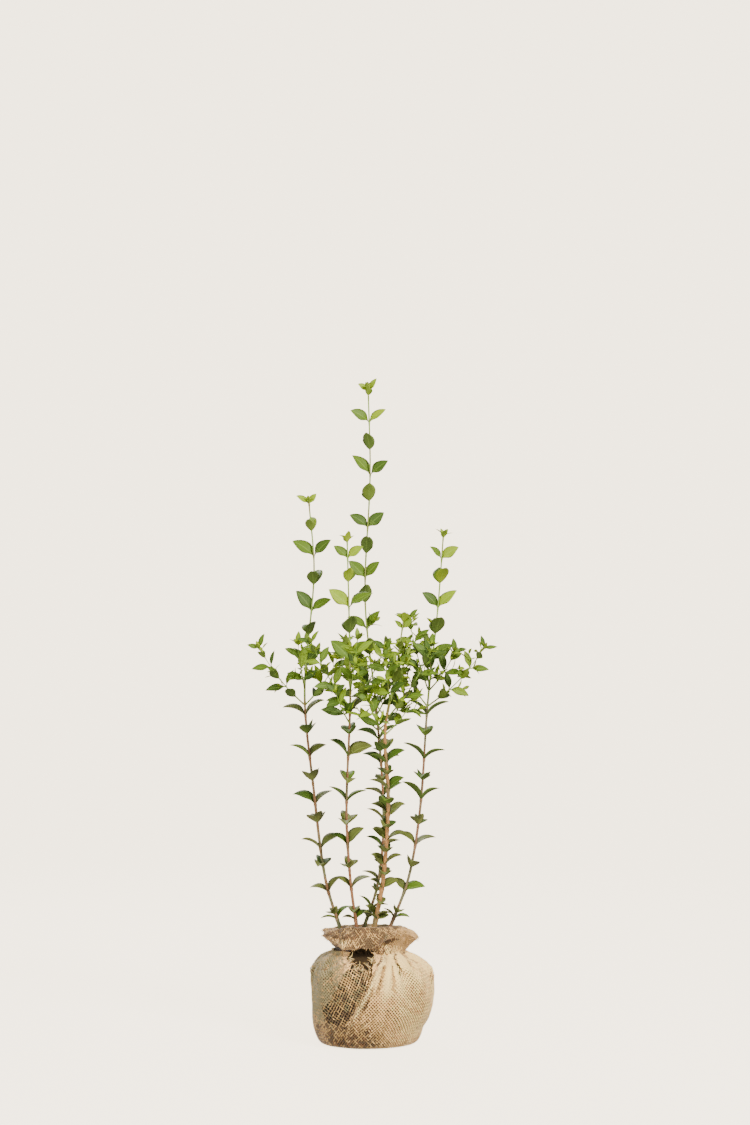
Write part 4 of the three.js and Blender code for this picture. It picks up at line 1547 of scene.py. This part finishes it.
# Sections of the frill at angles round it, as radii and heights: from the neck out under the lip,
# over the crest and in towards the soil. At the front it is turned down over itself.
FRILL_SECTIONS = {
    -180: [(55, 142), (54, 148), (56, 155), (62, 163), (77, 177), (69, 178), (57, 181), (46, 180)],
    -150: [(55, 142), (53, 147), (55, 153), (62, 161), (72, 168), (69, 176), (60, 185), (48, 182)],
    -118: [(55, 142), (53, 147), (56, 151), (65, 156), (71, 158), (70, 169), (62, 190), (49, 184)],
    -90: [(55, 142), (53, 147), (56, 152), (65, 157), (71, 159), (70, 170), (62, 191), (49, 184)],
    -62: [(55, 142), (54, 148), (55, 156), (59, 166), (68, 171), (69, 178), (62, 190), (49, 184)],
    -40: [(55, 142), (55, 149), (57, 157), (61, 167), (69, 179), (68, 184), (61, 188), (49, 183)],
    -12: [(55, 142), (58, 149), (63, 156), (71, 163), (78, 169), (73, 174), (62, 182), (49, 181)],
    20: [(55, 142), (55, 149), (59, 156), (67, 164), (76, 172), (71, 176), (60, 182), (48, 181)],
    90: [(54, 142), (54, 149), (57, 157), (64, 167), (72, 176), (67, 180), (57, 182), (46, 180)],
}
FRILL_SECTIONS[180] = FRILL_SECTIONS[-180]
FRILL_LENGTH = 92
FRILL_SHARES = np.array([0, 0.07, 0.15, 0.27, 0.38, 0.46, 0.64, 0.8, 1])
FRILL_LIP = 0.38


def frill_section(angle, share):
    """The frill's radius and height at an angle and a share of its section."""
    turns = np.array(sorted(FRILL_SECTIONS))
    table = np.array([FRILL_SECTIONS[turn] + [(FRILL_INSIDE, 178.5)] for turn in turns], float)
    place = (np.degrees(angle) + 180) % 360 - 180
    index = np.clip(np.searchsorted(turns, place, side="right") - 1, 0, len(turns) - 2)
    between = (place - turns[index]) / (turns[index + 1] - turns[index])
    between = between * between * (3 - 2 * between)
    step = np.clip(np.searchsorted(FRILL_SHARES, share, side="right") - 1, 0, len(FRILL_SHARES) - 2)
    along = (share - FRILL_SHARES[step]) / (FRILL_SHARES[step + 1] - FRILL_SHARES[step])
    between, along = between[..., None], along[..., None]
    near = blend(table[index, step], table[index, step + 1], along)
    far = blend(table[index + 1, step], table[index + 1, step + 1], along)
    section = blend(near, far, between)
    return section[..., 0], section[..., 1]


def frill_surface(angle, run):
    angle, run = np.broadcast_arrays(angle, run)
    share = np.clip(run / FRILL_LENGTH, 0, 1)
    radius, height = frill_section(angle, share)
    out = smooth(0.1, 0.36, share) * smooth(0.66, 0.42, share)
    side = 1 - 0.75 * near_angle(angle, -85, 45)
    wave = np.sin(FRILL_WAVES * angle + 0.9 * np.sin(2 * angle))
    radius = radius * (1 + side * out * 0.035 * np.sin(FRILL_WAVES * angle + 1.6))
    inner = smooth(0.78, 1, share)
    radius = radius + inner * 19 * np.cos(angle) ** 2
    height = height + side * out * FRILL_WAVE_DEPTH * wave
    height = height + inner * 1.2 * np.sin(14 * angle + np.sin(3 * angle))
    crimp = 1.1 * np.sin(23 * angle + 2 * np.sin(3 * angle)) * smooth(0.42, 0.6, share)
    points = polar(radius + crimp, angle, height, FRILL_MIDDLE)
    crumple = 1 + 1.6 * out * near_angle(angle, -135, 32)
    points[..., 2] += crumple * layered(points, FRILL_RUMPLE)
    puff = crumple * layered(points, FRILL_PUFF) - 1.3
    return points + polar(puff, angle, 0)


def frill_tones(points, grain):
    x, y, z = np.moveaxis(points, -1, 0)
    angle = np.arctan2(y, x - FRILL_MIDDLE)
    front = smooth(10, -40, y)
    reach = np.hypot(x - FRILL_MIDDLE, y)
    lip = near_angle(angle, -134, 24) * smooth(62, 66, reach) * smooth(176, 166, z)
    # Painted light: on the right, where the key light falls, the frill and its lower part there lean to
    # cream and tan rather than brown.
    right = near_angle(angle, -18, 34) * smooth(60, 65, reach)
    # Painted light on the neck under the frill: pale and cream to the right, towards the key light, and
    # dark to the left as painted shadow.
    neck = smooth(166, 156, z) * smooth(60, 56, reach)
    # Painted shadow: a thin dark band just under the lip at the front.
    below = frill_section(angle, np.full(angle.shape, FRILL_LIP))[1] - z
    lip_shadow = smooth(0, 1, below) * smooth(4, 2, below) * near_angle(angle, -76, 26)
    under = smooth(30, 44, x) * smooth(172, 164, z)
    return pick_tones({
        "pale": 0.1 + 0.5 * lip + 0.7 * neck * smooth(10, 30, x),
        "cream": 0.3 + 0.4 * lip + 0.36 * right + 0.4 * neck * smooth(0, 30, x),
        "tan": 0.56 + 0.2 * np.maximum(right, under),
        "rust": 0.4 + 0.1 * front * smooth(30, -20, x) + 0.1 * right,
        "brown": 0.56 + 0.12 * front - 0.3 * lip - 0.4 * np.maximum(right, under),
        "olive": 0.36 + 0.3 * smooth(0, 50, y),
        "dark": 0.12 + 0.8 * neck * smooth(10, -10, x) + 0.8 * lip_shadow * smooth(55, 58, reach),
    }, points, grain, FRILL_TONE_SEED)


def frill_cover(points):
    return 0.52 + 0.12 * noise(points, 9, 33)


def frill_shut(points):
    """Below 1 where the tear runs on under the frill."""
    x, y, z = np.moveaxis(points, -1, 0)
    inside = (y < 0) & (np.hypot(x, y) < 66) & (z < 160)
    return np.where(inside, torn(points, 2, 2, 22), 9)


def dress_frill(threads, cloths):
    piles = weave(
        frill_surface, FRILL_THREADS, FRILL_LENGTH, frill_cover, frill_tones, frill_shut,
        FRILL_WEAVE_SEED, FRILL_PITCH,
    )
    for pile, side in zip(piles, ("right", "left")):
        pile.piece(f"frill_threads_{side}", threads, "burlap", "burlap_frill")
    pile = Pile()
    pile.add(*backing(
        frill_surface, FRILL_LENGTH, 1.5, frill_shut, FRILL_ROWS, FRILL_COLUMNS, frill_lining_tone,
    ))
    pile.piece("frill_lining", cloths, "burlap", "burlap_frill")
    dress_fringe(threads)


def frill_lining_tone(points):
    return np.where((points[..., 0] > 24) & (points[..., 2] < 164), GAP, FRILLED)


def dress_fringe(threads):
    """Frayed ends along the lip, but for the stretch that is turned under."""
    roll = dice(FRINGE_SEED)
    pile = Pile()
    for _ in range(FRINGE_ENDS):
        angle = roll(-math.pi, math.pi)
        run = FRILL_LENGTH * (FRILL_LIP + roll(-0.02, 0.02))
        if abs(math.degrees(angle) + 52) < 18:
            continue
        start = frill_surface(np.array([[angle]]), np.array([[run]]))[0, 0]
        front = near_angle(angle, -95, 60)
        way = polar(1 - 0.7 * front, angle, -front)
        way = way + np.array([roll(-0.5, 0.5), roll(-0.3, 0.3), roll(-1, 0.2)])
        tone = end_tone(roll, "rust", "tan", "cream")
        add_fibre(pile, curl(start, way, 1.3, roll(1.5, 6.5), roll, 4), roll(0.25, 0.6), tone)
    pile.piece("frill_fringe", threads, "burlap", "burlap_frill")


# Soil

def soil_skin():
    """The ball of soil inside the cloth, up to its crumbly top between the canes."""
    neck = float(ball_middle(NECK_HEIGHT))
    rows = [
        (ball_radius(height) - SOIL_INSET, height, ball_middle(height))
        for height in np.linspace(3.5, NECK_HEIGHT - 3, 40)
    ]
    rows += [
        (SOIL_NECK_RADIUS + 2, NECK_HEIGHT, neck), (SOIL_NECK_RADIUS, NECK_HEIGHT + 8, neck),
        (SOIL_TOP_RADIUS - 2, SOIL_TOP - 8, neck), (SOIL_TOP_RADIUS, SOIL_TOP - 2, neck),
    ]
    for radius in np.linspace(SOIL_TOP_RADIUS - 2.5, 0.3, 22):
        rows.append((radius, SOIL_TOP - 0.5 + 1.5 * (1 - (radius / SOIL_TOP_RADIUS) ** 2), neck))
    radius, height, middle = np.array(rows, float).T[:, :, None]
    points = polar(radius, turns_round(SOIL_COLUMNS), height, middle).reshape(-1, 3)
    lumps = layered(points, SOIL_LUMPS) - 0.6
    points = points + unit(points - [neck, 0, SOIL_MIDDLE]) * lumps[:, None]
    return points, grid_faces(len(rows), SOIL_COLUMNS, True)


def crumb(centre, size, seed):
    """A small angular clod."""
    radii, heights = np.array(CRUMB_ROWS).T[:, :, None]
    points = polar(radii, turns_round(6), heights).reshape(-1, 3)
    points = points * (1 + 0.35 * noise(points + seed * 3.1, 0.8, 2))[:, None]
    return centre + size * points, grid_faces(len(CRUMB_ROWS), 6, True)


def dress_soil():
    roll = dice(SOIL_SEED)
    pile = Pile()
    pile.add(*soil_skin())
    neck = float(ball_middle(NECK_HEIGHT))
    for number in range(TOP_CRUMBS):
        reach = SOIL_TOP_RADIUS * math.sqrt(roll(0.0, 0.98))
        turn = roll(0, 2 * math.pi)
        size = roll(0.6, 2.6)
        pile.add(*crumb(polar(reach, turn, SOIL_TOP + 0.3 * size, neck), size, number))
    for number in range(TEAR_CRUMBS):
        turn, height = math.radians(roll(-125, -70)), roll(122, 150)
        reach = float(ball_radius(min(height, 143))) - SOIL_INSET + roll(-1, 1.5)
        reach = min(reach, blend(reach, 46, float(smooth(136, 146, height))))
        place = polar(reach, turn, height, ball_middle(height))
        pile.add(*crumb(place, roll(0.8, 2.4), number + 500))
    pile.piece("soil", [soil_material()], "soil", "root_ball_soil")


# Loose fibres and torn ends

def stray(roll):
    return np.array([roll(-1, 1) for _ in range(3)])


def end_tone(roll, *names):
    """The tone of a frayed end, one of three by chance."""
    chance = roll(0, 1)
    return TONE_NAMES.index(names[0] if chance < 0.25 else names[1] if chance < 0.6 else names[2])


def curl(start, way, lean, length, roll, steps=7):
    """A thread end that bends away from its start."""
    points = [start]
    way = unit(way)
    bend = unit(stray(roll)) * lean
    for _ in range(steps):
        way = unit(way + bend / steps + 0.12 * stray(roll))
        points.append(points[-1] + way * length / steps)
    return np.array(points)


def add_fibre(pile, path, radius, tone, sides=4):
    path[:, 2] = np.maximum(path[:, 2], radius + 0.1)
    skin, faces, _, places = tube(path, radius * np.linspace(1, 0.35, len(path)), sides)
    pile.add(skin, faces, tone, places + [abs(path[0].sum()) % 50, 0])


def tear_ends(pile, roll):
    """Threads left hanging round the tear, most of them up from its lower edge."""
    for _ in range(TEAR_ENDS):
        turn = math.radians(roll(165, 375))
        reach = roll(0.8, 1.12)
        x = TEAR_CENTRE[0] + reach * TEAR_SIZE[0] * math.cos(turn)
        z = TEAR_CENTRE[1] + reach * TEAR_SIZE[1] * math.sin(turn)
        if z > NECK_HEIGHT - 3:
            continue
        start = on_ball(x, z, roll(0.2, 1.4))
        way = np.array([(TEAR_CENTRE[0] - x) / 20 + roll(-0.7, 0.7), roll(-0.5, 0.2), roll(0.1, 1.1)])
        path = curl(start, way, 1.5, roll(3, 15), roll)
        tone = end_tone(roll, "pale", "cream", "olive")
        add_fibre(pile, path, roll(0.3, 0.75), tone)


def on_ball(x, z, out):
    """A point of the ball's front at this x and height, out from its cloth."""
    at, up = np.array([[float(front_angle(x, z))]]), np.array([[np.interp(z, BALL_HEIGHTS, BALL_RUN)]])
    return (ball_surface(at, up) + out * surface_normal(ball_surface, at, up))[0, 0]


def fuzz(pile, roll, surface, length, size):
    """Hairs of jute that stand out of a cloth."""
    turns = np.array([[roll(0, 2 * math.pi) for _ in range(HAIRS)]])
    runs = np.array([[length * roll(0.12, 1) for _ in range(HAIRS)]])
    starts = surface(turns, runs)[0]
    for start, normal in zip(starts, surface_normal(surface, turns, runs)[0]):
        if tear_depth(start) < 1:
            continue
        way = normal * roll(0.1, 0.8) + stray(roll)
        path = curl(start, way, 1.6, roll(*size), roll, 5)
        add_fibre(pile, path, roll(0.07, 0.16), TONE_NAMES.index("cream"), 3)


def dress_fibres(threads):
    roll = dice(FIBRE_SEED)
    pile = Pile()
    tear_ends(pile, roll)
    fuzz(pile, roll, ball_surface, BALL_RUN[-1], (3, 9))
    fuzz(pile, roll, frill_surface, FRILL_LENGTH * 0.7, (2, 7))
    pile.piece("burlap_fibres", threads, "burlap", "burlap_wrap")


add_camera()
add_stage()
add_lights()
plant = grow_plant()
for order, grown in enumerate(plant):
    if grown["kind"] == "cane":
        grow_basal(grown)
    else:
        grow_spurs(grown, SPUR_SEED + order)
dress_leaves(plant, leaf_materials())
dress_twigs(plant)
dress_canes(plant)
thread_set = [thread_material(name, tone) for name, tone in THREAD_TONES.items()]
cloth_set = [cloth_material(f"{name}_cloth", *tones) for name, tones in CLOTH_TONES.items()]
dress_ball(thread_set, cloth_set)
dress_frill(thread_set, cloth_set)
dress_soil()
dress_fibres(thread_set)
